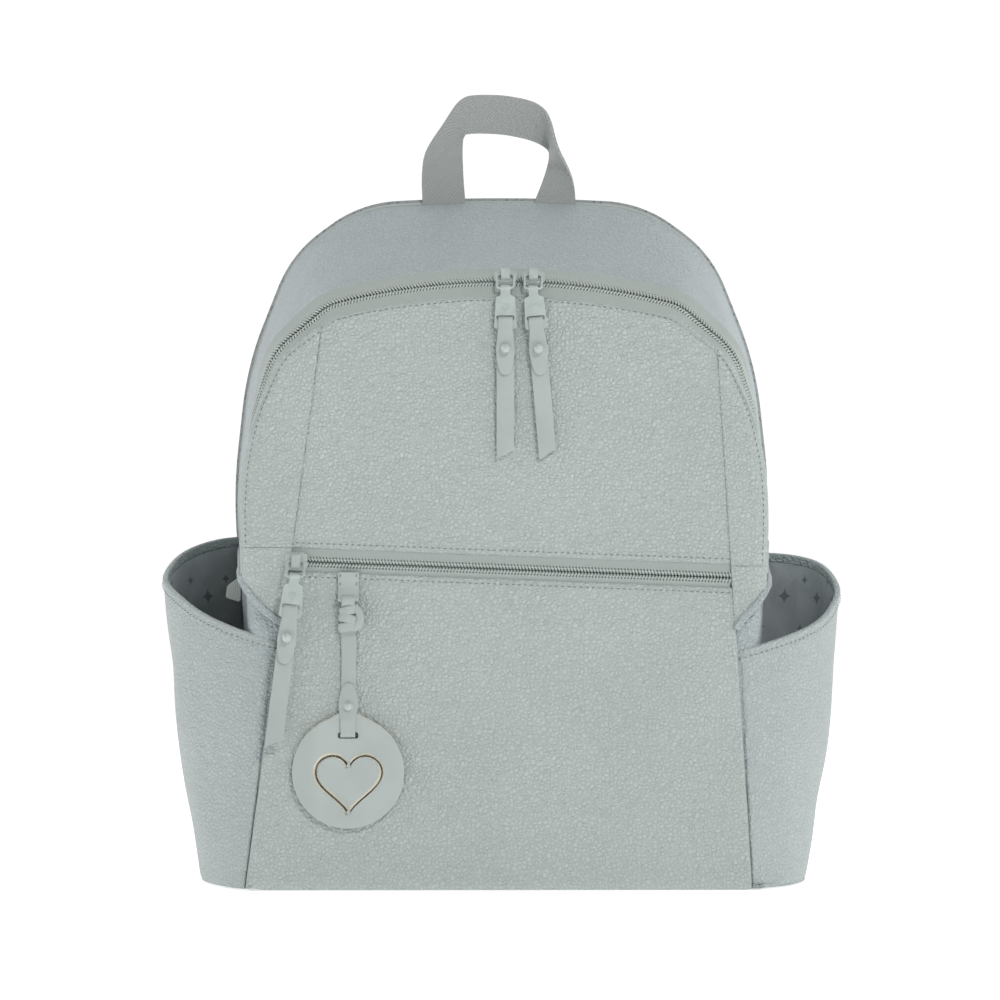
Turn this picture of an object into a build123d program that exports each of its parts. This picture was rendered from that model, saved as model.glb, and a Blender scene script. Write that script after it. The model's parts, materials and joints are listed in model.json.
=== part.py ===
"""Backpack-style diaper bag, built as separate sewn and moulded pieces.

Millimetres, +Z up, front towards -Y, floor contact at Z = 0.
"""
from build123d import *
import os
from math import cos, sin, tan, radians, degrees, hypot, asin, atan2

os.makedirs("parts", exist_ok=True)

# ---- driving dimensions -------------------------------------------------
FRONT_Y = -88.0          # foot of the front face
LEAN = 3.0               # degrees the front leans back
BACK_Y = 75.0            # rear end of the gusset
SHEET = 3.0              # leather with its foam backing
BASE_T = 3.0
STRIP_HALF = 9.0         # the main zip strip runs at 45 degrees from +9 to -9
ZIP_N = -9.0             # depth of the main zip's centre line
GUSSET_N = -18.0         # depth of the gusset's front edge
SEAM_FOOT, SEAM_RATE = 149.0, 0.0955      # front seam: half width at the foot, narrowing per mm
FOLD_SLOPE = -2.17       # degrees, the front zip runs slightly down to the wearer's left
FRONT_ZIP_V = 189.0      # height of the front zip's centre line
FOLD_W = 7.3             # flap fold above that centre line
LOWER_EDGE_W = -5.6      # top edge of the pocket panel
ZIP_END_V = 206.0        # lower ends of the main zip
SPLIT_Z = 204.0          # side panels below, top gusset above
COIL_IN, COIL_OUT, COIL_S = 0.8, 3.2, 1.25
TAPE_IN, TAPE_OUT, TAPE_S = 3.5, 12.0, 0.5
STRAP_W = 10.0           # zip pull straps
WIRE_R = 0.8             # zip link wire
POCKET_WALL = 2.5
RIM_HEIGHT = {-1: 176.0, 1: 168.0}        # rim height at mid depth, left and right
GAP = 0.2                # running gap between pieces of different bodies

S3, C3 = sin(radians(LEAN)), cos(radians(LEAN))
X, V, N = Vector(1, 0, 0), Vector(0, S3, C3), Vector(0, -C3, S3)
FOOT = Vector(0, FRONT_Y, 0)

# half outlines, from the foot up to the crown, and their corner radii
ZIP_HALF, ZIP_RADII = [(148, 0), (157, 232), (143.3, 341.2), (0, 370)], [300, 65, 480]
BACK_HALF, BACK_RADII = [(150, 0), (163, 232), (146, 410), (0, 414)], [300, 95, 1500]


def front(n=0.0):
    """Plane of the leaning front, n outward; local x is +X and local y runs up the front."""
    return Plane(origin=FOOT + N * n, x_dir=X, z_dir=N)


def upright(y):
    """Upright plane at depth y; local y is +Z and the normal points forward."""
    return Plane(origin=(0, y, 0), x_dir=(1, 0, 0), z_dir=(0, -1, 0))


def seam_x(v):
    return SEAM_FOOT - SEAM_RATE * v


def meet(p, d, q, e):
    """Where the line p + t d meets q + s e."""
    t = ((q[0] - p[0]) * e[1] - (q[1] - p[1]) * e[0]) / (d[0] * e[1] - d[1] * e[0])
    return (p[0] + t * d[0], p[1] + t * d[1])


def grown(half, grow):
    """A half outline moved outward by grow, its corners met again."""
    sides = []
    for (x0, v0), (x1, v1) in zip(half, half[1:]):
        dx, dv = x1 - x0, v1 - v0
        size = hypot(dx, dv)
        sides.append(((x0 + grow * dv / size, v0 - grow * dx / size), (dx, dv)))
    points = [meet(*sides[0], (0, half[0][1]), (1, 0))]
    points += [meet(*a, *b) for a, b in zip(sides, sides[1:])]
    return points + [meet(*sides[-1], (0, 0), (0, 1))]


def arch(half, radii, grow=0.0):
    """The rounded line over the bag from the right foot to the left foot."""
    points = grown(half, grow)
    full = points + [(-x, v) for x, v in reversed(points[:-1])]
    bends = [r + grow for r in radii]
    return FilletPolyline(*full, radius=bends + bends[-2::-1])


def arch_face(half, radii, grow=0.0):
    """The closed area under the arch."""
    with BuildLine() as outline:
        line = arch(half, radii, grow)
        Line(line @ 1, line @ 0)
    make_face(outline.edges())


def box(plane, x0, x1, y0, y1, z0, z1, mode=Mode.ADD):
    """A box between limits of a plane's own axes."""
    with BuildSketch(plane.offset(z0)) as area:
        with Locations(((x0 + x1) / 2, (y0 + y1) / 2)):
            Rectangle(x1 - x0, y1 - y0)
    extrude(area.sketch, amount=z1 - z0, mode=mode)


def slab(plane, points, z0, z1, mode=Mode.ADD):
    """A straight-sided plate between limits along a plane's normal."""
    with BuildSketch(plane.offset(z0)) as area:
        Polygon(*points, align=None)
    extrude(area.sketch, amount=z1 - z0, mode=mode)


def disc(plane, radius, x, y, z0, z1, mode=Mode.ADD):
    """A round plug between limits along a plane's normal."""
    with BuildSketch(plane.offset(z0)) as area:
        with Locations((x, y)):
            Circle(radius)
    extrude(area.sketch, amount=z1 - z0, mode=mode)


def keep(name, builder):
    builder.part.label = name
    export_step(builder.part, f"parts/{name}.step")


def fold_v(x, w=FOLD_W):
    """Height on the front of a line w above the front zip's centre line."""
    return FRONT_ZIP_V + tan(radians(FOLD_SLOPE)) * x + w / cos(radians(FOLD_SLOPE))


ZIP_X = X * cos(radians(FOLD_SLOPE)) + V * sin(radians(FOLD_SLOPE))


def zip_plane(n):
    """Plane of the front zip: local x along the zip, local y across it."""
    return Plane(origin=FOOT + V * FRONT_ZIP_V + N * n, x_dir=ZIP_X, z_dir=N)


# ---- shell of the body --------------------------------------------------
with BuildPart() as base_panel:
    with BuildSketch():
        with Locations((0, (FRONT_Y + 0.2 + 83) / 2)):
            RectangleRounded(2 * 149, 83 - FRONT_Y - 0.2, 6)
    extrude(amount=BASE_T)
keep("base_panel", base_panel)

with BuildPart() as base_board:
    with BuildSketch(Plane.XY.offset(3.4)):
        with Locations((0, 3.5)):
            RectangleRounded(2 * 136, 125, 12)
    extrude(amount=1.8)
keep("base_board", base_board)

with BuildPart() as front_pocket_panel:
    slab(front(), [(-seam_x(3.4), 3.4), (seam_x(3.4), 3.4), (seam_x(fold_v(130, LOWER_EDGE_W)),
         fold_v(130, LOWER_EDGE_W)), (-seam_x(fold_v(-130, LOWER_EDGE_W)), fold_v(-130, LOWER_EDGE_W))],
         -SHEET, 0)
    bottom_corners = front_pocket_panel.edges().filter_by(Axis((0, 0, 0), N)).sort_by(Axis.Z)[:2]
    fillet(bottom_corners, 8)
keep("front_pocket_panel", front_pocket_panel)

with BuildPart() as flap_panel:
    with BuildSketch(front(-SHEET)):
        arch_face(ZIP_HALF, ZIP_RADII, -STRIP_HALF)
        Polygon((-seam_x(0), 0), (seam_x(0), 0), (seam_x(400), 400), (-seam_x(400), 400),
                align=None, mode=Mode.INTERSECT)
        Polygon((-200, -10), (200, -10), (200, fold_v(200) + GAP), (-200, fold_v(-200) + GAP),
                align=None, mode=Mode.SUBTRACT)
    extrude(amount=SHEET)
keep("flap_panel", flap_panel)

for side, word in ((-1, "left"), (1, "right")):
    with BuildPart() as flap_wedge:
        with BuildSketch(front(-SHEET)):
            arch_face(ZIP_HALF, ZIP_RADII, -STRIP_HALF)
            Polygon((side * (seam_x(0) + 0.15), 0), (side * 200, 0), (side * 200, 400),
                    (side * (seam_x(400) + 0.15), 400), align=None, mode=Mode.INTERSECT)
            Polygon((-200, -10), (200, -10), (200, fold_v(200) + GAP), (-200, fold_v(-200) + GAP),
                    align=None, mode=Mode.SUBTRACT)
        extrude(amount=SHEET)
    keep(f"flap_wedge_{word}", flap_wedge)

    foot = (seam_x(157.5) + 0.15, 157.5)
    outer = 145.2
    with BuildPart() as front_wedge:
        slab(front(), [(side * foot[0], foot[1]), (side * outer, 171.5),
             (side * outer, fold_v(side * outer)),
             (side * (seam_x(fold_v(side * 130)) + 0.15), fold_v(side * 130))], -SHEET, 0)
    keep(f"front_wedge_lower_{word}", front_wedge)

with BuildPart() as flap_lining:
    with BuildSketch(front(-4.0)):
        arch_face(ZIP_HALF, ZIP_RADII, -STRIP_HALF - 10)
        Polygon((-200, -10), (200, -10), (200, fold_v(200) + 8), (-200, fold_v(-200) + 8),
                align=None, mode=Mode.SUBTRACT)
    extrude(amount=0.8)
keep("flap_lining", flap_lining)

with BuildPart() as pocket_back_wall:
    slab(front(), [(-140, 4.6), (140, 4.6), (140, fold_v(140) - 1), (-140, fold_v(-140) - 1)], -21, -18)
keep("pocket_back_wall", pocket_back_wall)

with BuildPart() as top_gusset:
    with BuildSketch(front(GUSSET_N)):
        arch_face(ZIP_HALF, ZIP_RADII, STRIP_HALF)
    with BuildSketch(upright(BACK_Y)):
        arch_face(BACK_HALF, BACK_RADII)
    loft(ruled=True)
    with BuildSketch(front(GUSSET_N)):
        arch_face(ZIP_HALF, ZIP_RADII, STRIP_HALF - SHEET)
    with BuildSketch(upright(BACK_Y)):
        arch_face(BACK_HALF, BACK_RADII, -SHEET)
    loft(ruled=True, mode=Mode.SUBTRACT)
    split(bisect_by=Plane.XY.offset(SPLIT_Z + GAP), keep=Keep.TOP)
keep("top_gusset", top_gusset)

for side, word in ((-1, "left"), (1, "right")):
    with BuildPart() as side_panel:
        for n, grow in ((-6.5, -6.0), (GUSSET_N, STRIP_HALF)):
            with BuildSketch(front(n)):
                arch_face(ZIP_HALF, ZIP_RADII, grow)
        with BuildSketch(upright(BACK_Y)):
            arch_face(BACK_HALF, BACK_RADII)
        loft(ruled=True)
        for n, grow in ((-9.5, -9.0), (GUSSET_N, STRIP_HALF - SHEET)):
            with BuildSketch(front(n)):
                arch_face(ZIP_HALF, ZIP_RADII, grow)
        with BuildSketch(upright(BACK_Y)):
            arch_face(BACK_HALF, BACK_RADII, -SHEET)
        loft(ruled=True, mode=Mode.SUBTRACT)
        split(bisect_by=Plane.XY.offset(SPLIT_Z), keep=Keep.BOTTOM)
        split(bisect_by=Plane.XY.offset(BASE_T + 0.2), keep=Keep.TOP)
        split(bisect_by=Plane(origin=(side * 131, 0, 0), x_dir=(0, 1, 0), z_dir=(side, 0, 0)), keep=Keep.TOP)
    keep(f"side_panel_{word}", side_panel)

with BuildPart() as back_panel:
    with BuildSketch(upright(83)):
        arch_face(BACK_HALF, BACK_RADII)
        with Locations((0, 0)):
            Rectangle(400, 2 * (BASE_T + 0.2), mode=Mode.SUBTRACT)
    extrude(amount=3)
keep("back_panel", back_panel)

with BuildPart() as back_foam:
    with BuildSketch(upright(79.8)):
        arch_face(BACK_HALF, BACK_RADII, -0.6)
        Rectangle(400, 2 * (BASE_T + 0.4), mode=Mode.SUBTRACT)
    extrude(amount=4.5)
keep("back_foam", back_foam)

with BuildPart() as main_lining:
    with BuildSketch(front(-21.3)):
        arch_face(ZIP_HALF, ZIP_RADII, 5.2)
    with BuildSketch(upright(74.8)):
        arch_face(BACK_HALF, BACK_RADII, -3.6)
    loft(ruled=True)
    with BuildSketch(front(-22.2)):
        arch_face(ZIP_HALF, ZIP_RADII, 4.3)
    with BuildSketch(upright(74.0)):
        arch_face(BACK_HALF, BACK_RADII, -4.5)
    loft(ruled=True, mode=Mode.SUBTRACT)
    box(Plane.XY, -200, 200, -100, 100, -5, 5.4, mode=Mode.SUBTRACT)
    slab(front(), [(-144, fold_v(0) - 4), (144, fold_v(0) - 4), (126, 352), (-126, 352)], -25, -20,
         mode=Mode.SUBTRACT)
    box(Plane.XY, -140, 140, -58, 70, 5.4, 6.2)
keep("main_lining", main_lining)

with BuildPart() as inner_pocket:
    box(Plane.XY, -110, 110, 60, 73.8, 12, 190)
    box(Plane.XY, -108.8, 108.8, 61.2, 80, 13.2, 195, mode=Mode.SUBTRACT)
keep("inner_pocket", inner_pocket)

# ---- side pockets -------------------------------------------------------
POCKET_FOOT = [(150.2, -88), (182, -13), (153.5, 79.6)]
POCKET_TOP = [(131.6, -77), (208, -4), (166, 79.6)]


def pocket_face(points, side, inset, chord):
    """The area between a bowed pocket wall, moved inward by inset, and a chord."""
    arc = ThreePointArc(*points, mode=Mode.PRIVATE)
    centre, radius = arc.arc_center, arc.radius - inset
    ends = []
    for point in points:
        away = Vector(*point) - Vector(centre.X, centre.Y)
        ends.append(Vector(centre.X, centre.Y) + away.normalized() * radius)
    a, b, c = [(side * p.X, p.Y) for p in ends]
    reach = side * chord
    with BuildLine() as outline:
        ThreePointArc(a, b, c)
        if chord:
            Polyline(c, (c[0] - reach, c[1] + chord * 0.2), (a[0] - reach, a[1] - chord * 0.2), a)
        else:
            Line(c, a)
    make_face(outline.edges())


def pocket_loft(side, inset, chord, bottom, mode=Mode.ADD):
    """The bowed pocket volume from a height up to above the rim."""
    share = bottom / 210
    low = [(f[0] + share * (t[0] - f[0]), f[1] + share * (t[1] - f[1]))
           for f, t in zip(POCKET_FOOT, POCKET_TOP)]
    with BuildSketch(Plane.XY.offset(bottom)) as under:
        pocket_face(low, side, inset, chord)
    with BuildSketch(Plane.XY.offset(210)) as over:
        pocket_face(POCKET_TOP, side, inset, chord)
    loft([under.sketch, over.sketch], ruled=True, mode=mode)


for side, word in ((-1, "left"), (1, "right")):
    rim = Plane(origin=(side * 150, 0, RIM_HEIGHT[side]), x_dir=(0, 1, 0.3375),
                z_dir=(-side * 0.1166, -0.3375, 1))
    with BuildPart() as side_pocket:
        pocket_loft(side, 0.0, 0, 0.6)
        pocket_loft(side, POCKET_WALL, 25, 3.0, mode=Mode.SUBTRACT)
        split(bisect_by=rim, keep=Keep.BOTTOM)
        box(Plane.XY, -149.4, 149.4, -120, 120, -1, 3.1, mode=Mode.SUBTRACT)
    keep(f"side_pocket_{word}", side_pocket)

    with BuildPart() as side_pocket_lining:
        pocket_loft(side, POCKET_WALL + 0.2, 0, 3.4)
        pocket_loft(side, POCKET_WALL + 1.0, 25, 3.2, mode=Mode.SUBTRACT)
        split(bisect_by=rim.offset(-1.5), keep=Keep.BOTTOM)
        split(bisect_by=Plane.XZ.offset(68), keep=Keep.BOTTOM)
    keep(f"side_pocket_lining_{word}", side_pocket_lining)

# ---- main zip -----------------------------------------------------------
ZIP_PATH_HALF = [(meet((148, 0), (9, 232), (0, ZIP_END_V), (1, 0)))] + ZIP_HALF[1:]


def along_zip(q0, q1, s0, s1):
    """A strip that follows the main zip; q runs across it (rear positive), s outward from it."""
    with BuildLine(front(ZIP_N)) as run:
        arch(ZIP_PATH_HALF, ZIP_RADII)
    start, tangent = run.line @ 0, (run.line % 0)
    away = N.cross(tangent) * -1
    s_dir = (away + N).normalized()
    q_dir = (away - N).normalized()
    section = Plane(origin=start, x_dir=q_dir, z_dir=q_dir.cross(s_dir))
    with BuildSketch(section) as profile:
        with Locations(((q0 + q1) / 2, (s0 + s1) / 2)):
            Rectangle(q1 - q0, s1 - s0)
    sweep(profile.sketch, path=run.line)


for word, sign in (("front", -1), ("rear", 1)):
    with BuildPart() as tape:
        along_zip(*sorted((sign * TAPE_IN, sign * TAPE_OUT)), -TAPE_S, TAPE_S)
    keep(f"main_zip_tape_{word}", tape)
    with BuildPart() as coil:
        along_zip(*sorted((sign * COIL_IN, sign * COIL_OUT)), -COIL_S, COIL_S)
    keep(f"main_zip_coil_{word}", coil)

with BuildPart() as zip_end_tabs:
    for side in (-1, 1):
        x, v = meet((148, 0), (9, 232), (0, 196), (1, 0))
        rise = Vector(side * 9, 232, 0).normalized()
        along = X * rise.X + V * rise.Y
        away = (X * (side * rise.Y) + V * (-side * rise.X)).normalized()
        tab = Plane(origin=FOOT + X * side * x + V * v + N * ZIP_N, x_dir=along,
                    z_dir=(away + N).normalized())
        box(tab, -9, 9, -6.5, 6.5, 0.6, 2.2)
keep("zip_end_tabs", zip_end_tabs)

# ---- front zip ----------------------------------------------------------
FRONT_COIL_N = -2.75
FRONT_RUN = 129.0
with BuildPart() as front_zip_tapes:
    for sign in (-1, 1):
        w0, w1 = sorted((sign * TAPE_IN, sign * (TAPE_OUT - 0.5)))
        box(zip_plane(0), -FRONT_RUN, FRONT_RUN, w0, w1, -4.2, -3.2)
keep("front_zip_tapes", front_zip_tapes)

with BuildPart() as front_zip_coils:
    for sign in (-1, 1):
        w0, w1 = sorted((sign * COIL_IN, sign * COIL_OUT))
        box(zip_plane(FRONT_COIL_N), -FRONT_RUN, FRONT_RUN, w0, w1, -COIL_S, COIL_S)
keep("front_zip_coils", front_zip_coils)

# ---- sliders and pulls --------------------------------------------------
PLATE_T = 1.6
LINK_W, LINK_L = 10.0, 12.4
LINK_S = 4.55            # the link's bar above the zip's middle
SLOT_AT, SLOT_H = 17.6, 2.8
STRAP_T = 1.2
LAYER = PLATE_T / 2 + 0.2
STUD_AT = 36.0
TIP_AT, END_AT = 52.0, 96.0


def slider(plane, rear):
    """Slider body; rear is how far its bottom plate reaches across the zip."""
    with BuildSketch(plane.offset(2.2)) as top:
        RectangleRounded(11, 9, 2.2)
    extrude(top.sketch, amount=1.5)
    box(plane, -5.5, 5.5, -4.5, rear, -3.7, -2.2)
    box(plane, 2.2, 5.2, -0.6, 0.6, -2.2, 2.2)
    for sign in (-1, 1):
        y0, y1 = sorted((sign * 2.9, sign * 4.3))
        box(plane, -3, 3, y0, y1, 3.7, 5.4)
    box(plane, -3, 3, -4.3, 4.3, 5.4, 6.8)


def wire(plane, corners, bends, thickness):
    """A closed loop of round wire through rounded corners."""
    with BuildLine(plane) as ring:
        FilletPolyline(*corners, radius=bends, close=True)
    with BuildSketch(Plane(origin=ring.line @ 0, z_dir=ring.line % 0)) as profile:
        Circle(thickness / 2)
    sweep(profile.sketch, path=ring.line)


def puller(plane, tilt):
    """Pull plate; local x along the link's bar, local y down the plate, local z outward."""
    barrel = Plane(origin=plane.origin - plane.x_dir * 2.95, x_dir=plane.y_dir, z_dir=plane.x_dir)
    leaned = plane.rotated((0, 0, tilt))
    with BuildSketch(leaned.offset(-PLATE_T / 2)) as plate:
        Polygon((-2.9, 1.2), (2.9, 1.2), (2.9, 4.4), (5.8, 5.6), (6.8, 24.6), (-6.8, 24.6),
                (-5.8, 5.6), (-2.9, 4.4), align=None)
        fillet(plate.vertices().sort_by(Axis.Y)[-2:], 1.6)
        with Locations((0, SLOT_AT)):
            RectangleRounded(10.8, SLOT_H, 1.0, mode=Mode.SUBTRACT)
    extrude(plate.sketch, amount=PLATE_T)
    disc(barrel, 1.8, 0, 0, 0, 5.9)
    disc(barrel, 0.95, 0, 0, -1, 7, mode=Mode.SUBTRACT)


def pull_strap(plane, tilt):
    """Doubled strap through the plate's slot, its front layer ending in a rounded tip."""
    leaned = plane.rotated((0, 0, tilt))
    half, start = STRAP_W / 2, SLOT_AT - 0.6
    slab(leaned, [(-half, start), (half, start), (half, END_AT), (-half, END_AT - 5)],
         -LAYER - STRAP_T, -LAYER)
    box(leaned, -half, half, start, TIP_AT - half, LAYER, LAYER + STRAP_T)
    disc(leaned, half, 0, TIP_AT - half, LAYER, LAYER + STRAP_T)
    box(leaned, -half, half, start, start + 1.2, -LAYER - STRAP_T, LAYER + STRAP_T)
    disc(leaned, 1.3, 0, STUD_AT, -6, 6, mode=Mode.SUBTRACT)


def stud(plane, at, back, front_face):
    """Ball stud through the strap: thin back washer, shank and ball head."""
    disc(plane, 3.0, 0, at, front_face + 0.05, front_face + 1.0)
    with Locations(plane * Pos(0, at, front_face + 1.6)):
        Sphere(3.0)
    disc(plane, 6, 0, at, front_face - 3, front_face + 0.05, mode=Mode.SUBTRACT)
    disc(plane, 1.2, 0, at, back - 0.1, front_face + 1)
    disc(plane, 2.6, 0, at, back - 0.45, back - 0.05)


CROWN_V = grown(ZIP_HALF, 0)[-1][1] - ZIP_RADII[-1] * (1 / cos(atan2(28.8, 143.3)) - 1) - ZIP_RADII[-1]


def build_pull(name, slide_plane, rear, lean, tilt):
    """One slider with its link, pull plate, strap and stud.

    lean is how far the link stands out from hanging straight down the front."""
    across = slide_plane.x_dir
    down = across.cross(N).normalized()
    hang = (down * cos(radians(lean)) + N * sin(radians(lean))).normalized()
    bar = slide_plane.origin + slide_plane.z_dir * LINK_S
    link_plane = Plane(origin=bar, x_dir=across, z_dir=across.cross(hang))
    low_bar = bar + hang * LINK_L
    plate_plane = Plane(origin=low_bar, x_dir=across * -1, z_dir=(across * -1).cross(down))
    with BuildPart() as slider_part:
        slider(slide_plane, rear)
    keep(name.replace("@", "slider"), slider_part)
    with BuildPart() as link_part:
        half = LINK_W / 2
        wire(link_plane, [(-half, 0), (half, 0), (half, LINK_L), (-half, LINK_L)], 1.8, 2 * WIRE_R)
    keep(name.replace("@", "link"), link_part)
    with BuildPart() as puller_part:
        puller(plate_plane, tilt)
    keep(name.replace("@", "puller"), puller_part)
    with BuildPart() as strap_part:
        pull_strap(plate_plane, tilt)
    keep(name.replace("@", "pull_strap"), strap_part)
    with BuildPart() as stud_part:
        stud(plate_plane.rotated((0, 0, tilt)), STUD_AT, -LAYER - STRAP_T, LAYER + STRAP_T)
    keep(name.replace("@", "pull_stud"), stud_part)
    print(name, "bar", bar, "low bar", low_bar, "across", across, "normal", plate_plane.z_dir)


for word, at, tilt in (("left", 0.6, 0.0), ("right", 17.1, 7.0)):
    phi = asin(at / ZIP_RADII[-1])
    run_dir = X * cos(phi) - V * sin(phi)
    away = X * sin(phi) + V * cos(phi)
    crown = FOOT + V * CROWN_V + N * ZIP_N
    seat = Plane(origin=crown + away * ZIP_RADII[-1], x_dir=run_dir, z_dir=(away + N).normalized())
    build_pull(f"main_@_{word}", seat, 0.6, 45.0, tilt)

FRONT_SLIDER_X = -123.0
seat = Plane(origin=zip_plane(FRONT_COIL_N).origin + ZIP_X * FRONT_SLIDER_X, x_dir=ZIP_X, z_dir=N)
build_pull("front_@", seat, 4.5, 40.0, -5.0)
print("crown", FOOT + V * CROWN_V + N * ZIP_N, "axis", N)
print("fold point", FOOT + V * fold_v(0), "axis", ZIP_X)

# ---- hanging tag --------------------------------------------------------
TAG_X = -92.0
EYE_V, EYE_N = 171.0, 3.5
TAG_SLOT_V = 91.1
DISC_R, DISC_V = 33.0, 69.4
tag = Plane(origin=FOOT + X * TAG_X, x_dir=X, z_dir=N)

with BuildPart() as tag_loop:
    box(tag, -6.2, 6.2, 175.5, 186.0, 0.15, 1.75)
    for side in (-1, 1):
        x0, x1 = sorted((side * 4.9, side * 6.2))
        box(tag, x0, x1, EYE_V - 1.1, 176.5, EYE_N - 1.1, EYE_N + 1.1)
        box(tag, x0, x1, 175.5, 178.0, 0.15, EYE_N + 1.1)
    with BuildSketch(Plane(origin=tag.origin + V * EYE_V + N * EYE_N - X * 5.5, x_dir=V, z_dir=X)):
        Circle(1.0)
    extrude(amount=11)
keep("tag_loop", tag_loop)

with BuildPart() as tag_strap:
    ring = Plane(origin=tag.origin + V * EYE_V + N * EYE_N - X * 4.4, x_dir=V, z_dir=X)
    with BuildSketch(ring):
        Circle(2.7)
    extrude(amount=8.8)
    box(tag, -4.4, 4.4, 150, EYE_V - 1.8, 2.2, 4.8)
    with BuildSketch(tag.offset(0.9)):
        with Locations((0.6, 158.5)):
            RectangleRounded(14, 12, 4)
    extrude(amount=5.6)
    box(tag, -4.4, 4.4, TAG_SLOT_V - 0.6, 156, 0.3, 1.5)
    box(tag, -4.4, 4.4, TAG_SLOT_V - 0.6, TAG_SLOT_V + 0.6, 0.3, 4.9)
    with BuildSketch(tag.offset(3.7)):
        with Locations((0, (TAG_SLOT_V - 0.6 + 117.5) / 2)):
            Rectangle(8.8, 117.5 - TAG_SLOT_V + 0.6)
        with Locations((0, 117.5)):
            Circle(4.4)
    extrude(amount=1.2)
    with BuildSketch(ring.offset(-1)):
        Circle(1.3)
    extrude(amount=12, mode=Mode.SUBTRACT)
    with BuildSketch(tag):
        with Locations((0, 108.0)):
            Circle(1.3)
    extrude(amount=10, mode=Mode.SUBTRACT)
keep("tag_strap", tag_strap)

with BuildPart() as tag_stud:
    with BuildSketch(tag.offset(1.6)):
        with Locations((0, 108.0)):
            Circle(1.2)
    extrude(amount=4)
    with BuildSketch(tag.offset(4.95)):
        with Locations((0, 108.0)):
            Circle(2.4)
    extrude(amount=1.7)
    fillet(tag_stud.edges().sort_by(Axis((0, 0, 0), N))[-1], 1.2)
keep("tag_stud", tag_stud)

with BuildPart() as tag_disc:
    with BuildSketch(tag.offset(1.7)):
        with Locations((0, DISC_V)):
            Circle(DISC_R)
        with Locations((0, TAG_SLOT_V)):
            RectangleRounded(26, 24, 9)
        with Locations((0, TAG_SLOT_V)):
            RectangleRounded(12, 3.6, 1.2, mode=Mode.SUBTRACT)
    extrude(amount=1.8)
keep("tag_disc", tag_disc)

# ---- handle and back ----------------------------------------------------
HANDLE_Y, HANDLE_Z = 78.4, 415.2
with BuildPart() as top_handle:
    with BuildSketch(upright(HANDLE_Y + 1.5)):
        with BuildLine():
            FilletPolyline((49, HANDLE_Z), (49, 443), (27, 481), (-27, 481), (-49, 443), (-49, HANDLE_Z),
                           radius=7)
            Line((-49, HANDLE_Z), (-24, HANDLE_Z))
            FilletPolyline((-24, HANDLE_Z), (-24, 446), (-17, 455.5), (17, 455.5), (24, 446), (24, HANDLE_Z),
                           radius=3)
            Line((24, HANDLE_Z), (49, HANDLE_Z))
        make_face()
    extrude(amount=3)
    for x in (-49, 24):
        with BuildSketch(Plane(origin=(x, HANDLE_Y, HANDLE_Z), x_dir=(0, 1, 0), z_dir=(1, 0, 0))):
            Circle(1.5)
        extrude(amount=25)
keep("top_handle", top_handle)

AXIS_Y = 91.0
STRAP_TOP, STRAP_LOW = (47.0, 372.0), (124.0, 48.0)
BOW = 46.0



def strap_frame(side):
    """Plane lying along a shoulder strap's anchor line (x down the strap, z off the back), and its length."""
    start = Vector(side * STRAP_TOP[0], AXIS_Y, STRAP_TOP[1])
    run = Vector(side * STRAP_LOW[0], AXIS_Y, STRAP_LOW[1]) - start
    return Plane(origin=start, x_dir=run, z_dir=(0, 1, 0)), run.length


with BuildPart() as strap_yoke:
    slab(Plane.XZ.offset(-85.2), [(-84, 402), (84, 402), (70, 366), (-70, 366)], 0, 2.0)
    for side in (-1, 1):
        flat, length = strap_frame(side)
        box(flat, -14, -0.6, -12.5, 12.5, 83.2 - AXIS_Y, 1.5)
    box(Plane.XY, -100, 100, 70, 83.2, 300, 450, mode=Mode.SUBTRACT)
keep("strap_yoke", strap_yoke)

with BuildPart() as strap_lower_tabs:
    for side in (-1, 1):
        flat, length = strap_frame(side)
        slab(Plane.XZ.offset(-85.2), [(side * x, z) for x, z in ((104, 52), (144, 44), (144, 12), (116, 12))],
             0, 2.0)
        box(flat, length + 0.6, length + 14, -12.5, 12.5, 83.2 - AXIS_Y, 1.5)
keep("strap_lower_tabs", strap_lower_tabs)

for side, word in ((-1, "left"), (1, "right")):
    flat, length = strap_frame(side)
    # curve: local x down the strap, local y off the back
    curve = Plane(origin=flat.origin, x_dir=flat.x_dir, z_dir=flat.x_dir.cross(Vector(0, 1, 0)))
    join = 0.62 * length

    def ribbon(start, end, t0, t1, half_width):
        """A band of the bowed strap between two distances down the run."""
        with BuildSketch(curve.offset(-half_width)) as band:
            with BuildLine() as outline:
                ThreePointArc((0, t1), (length / 2, BOW + t1), (length, t1))
                Line((length, t1), (length, t0))
                ThreePointArc((length, t0), (length / 2, BOW + t0), (0, t0))
                Line((0, t0), (0, t1))
            make_face(outline.edges())
            with Locations(((start + end) / 2, 0)):
                Rectangle(end - start, 400, mode=Mode.INTERSECT)
        extrude(band.sketch, amount=2 * half_width)

    with BuildPart() as strap_pad:
        ribbon(0, join, -1.3, 6.7, 30)
        shape = [(-5, 12.5), (40, 14), (90, 30), (join - 28, 30), (join - 4, 13.5), (join + 5, 13.5)]
        with BuildSketch(flat.offset(-20)):
            Polygon(*shape, *[(x, -y) for x, y in reversed(shape)], align=None)
        extrude(amount=120, mode=Mode.INTERSECT)
    keep(f"strap_pad_{word}", strap_pad)

    with BuildPart() as strap_webbing:
        ribbon(join + 0.3, length, -1.2, 0.8, 12.5)
    keep(f"strap_webbing_{word}", strap_webbing)

    with BuildPart() as ladder_lock:
        ribbon(join + 6, join + 32, 1.0, 4.6, 17)
        with BuildSketch(flat.offset(-20)):
            for at in (join + 12.5, join + 20.5, join + 27.5):
                with Locations((at, 0)):
                    RectangleRounded(4.2, 26, 0.8)
        extrude(amount=120, mode=Mode.SUBTRACT)
    keep(f"ladder_lock_{word}", ladder_lock)
    print(word, "strap axis", flat.origin, flat.x_dir)

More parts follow.
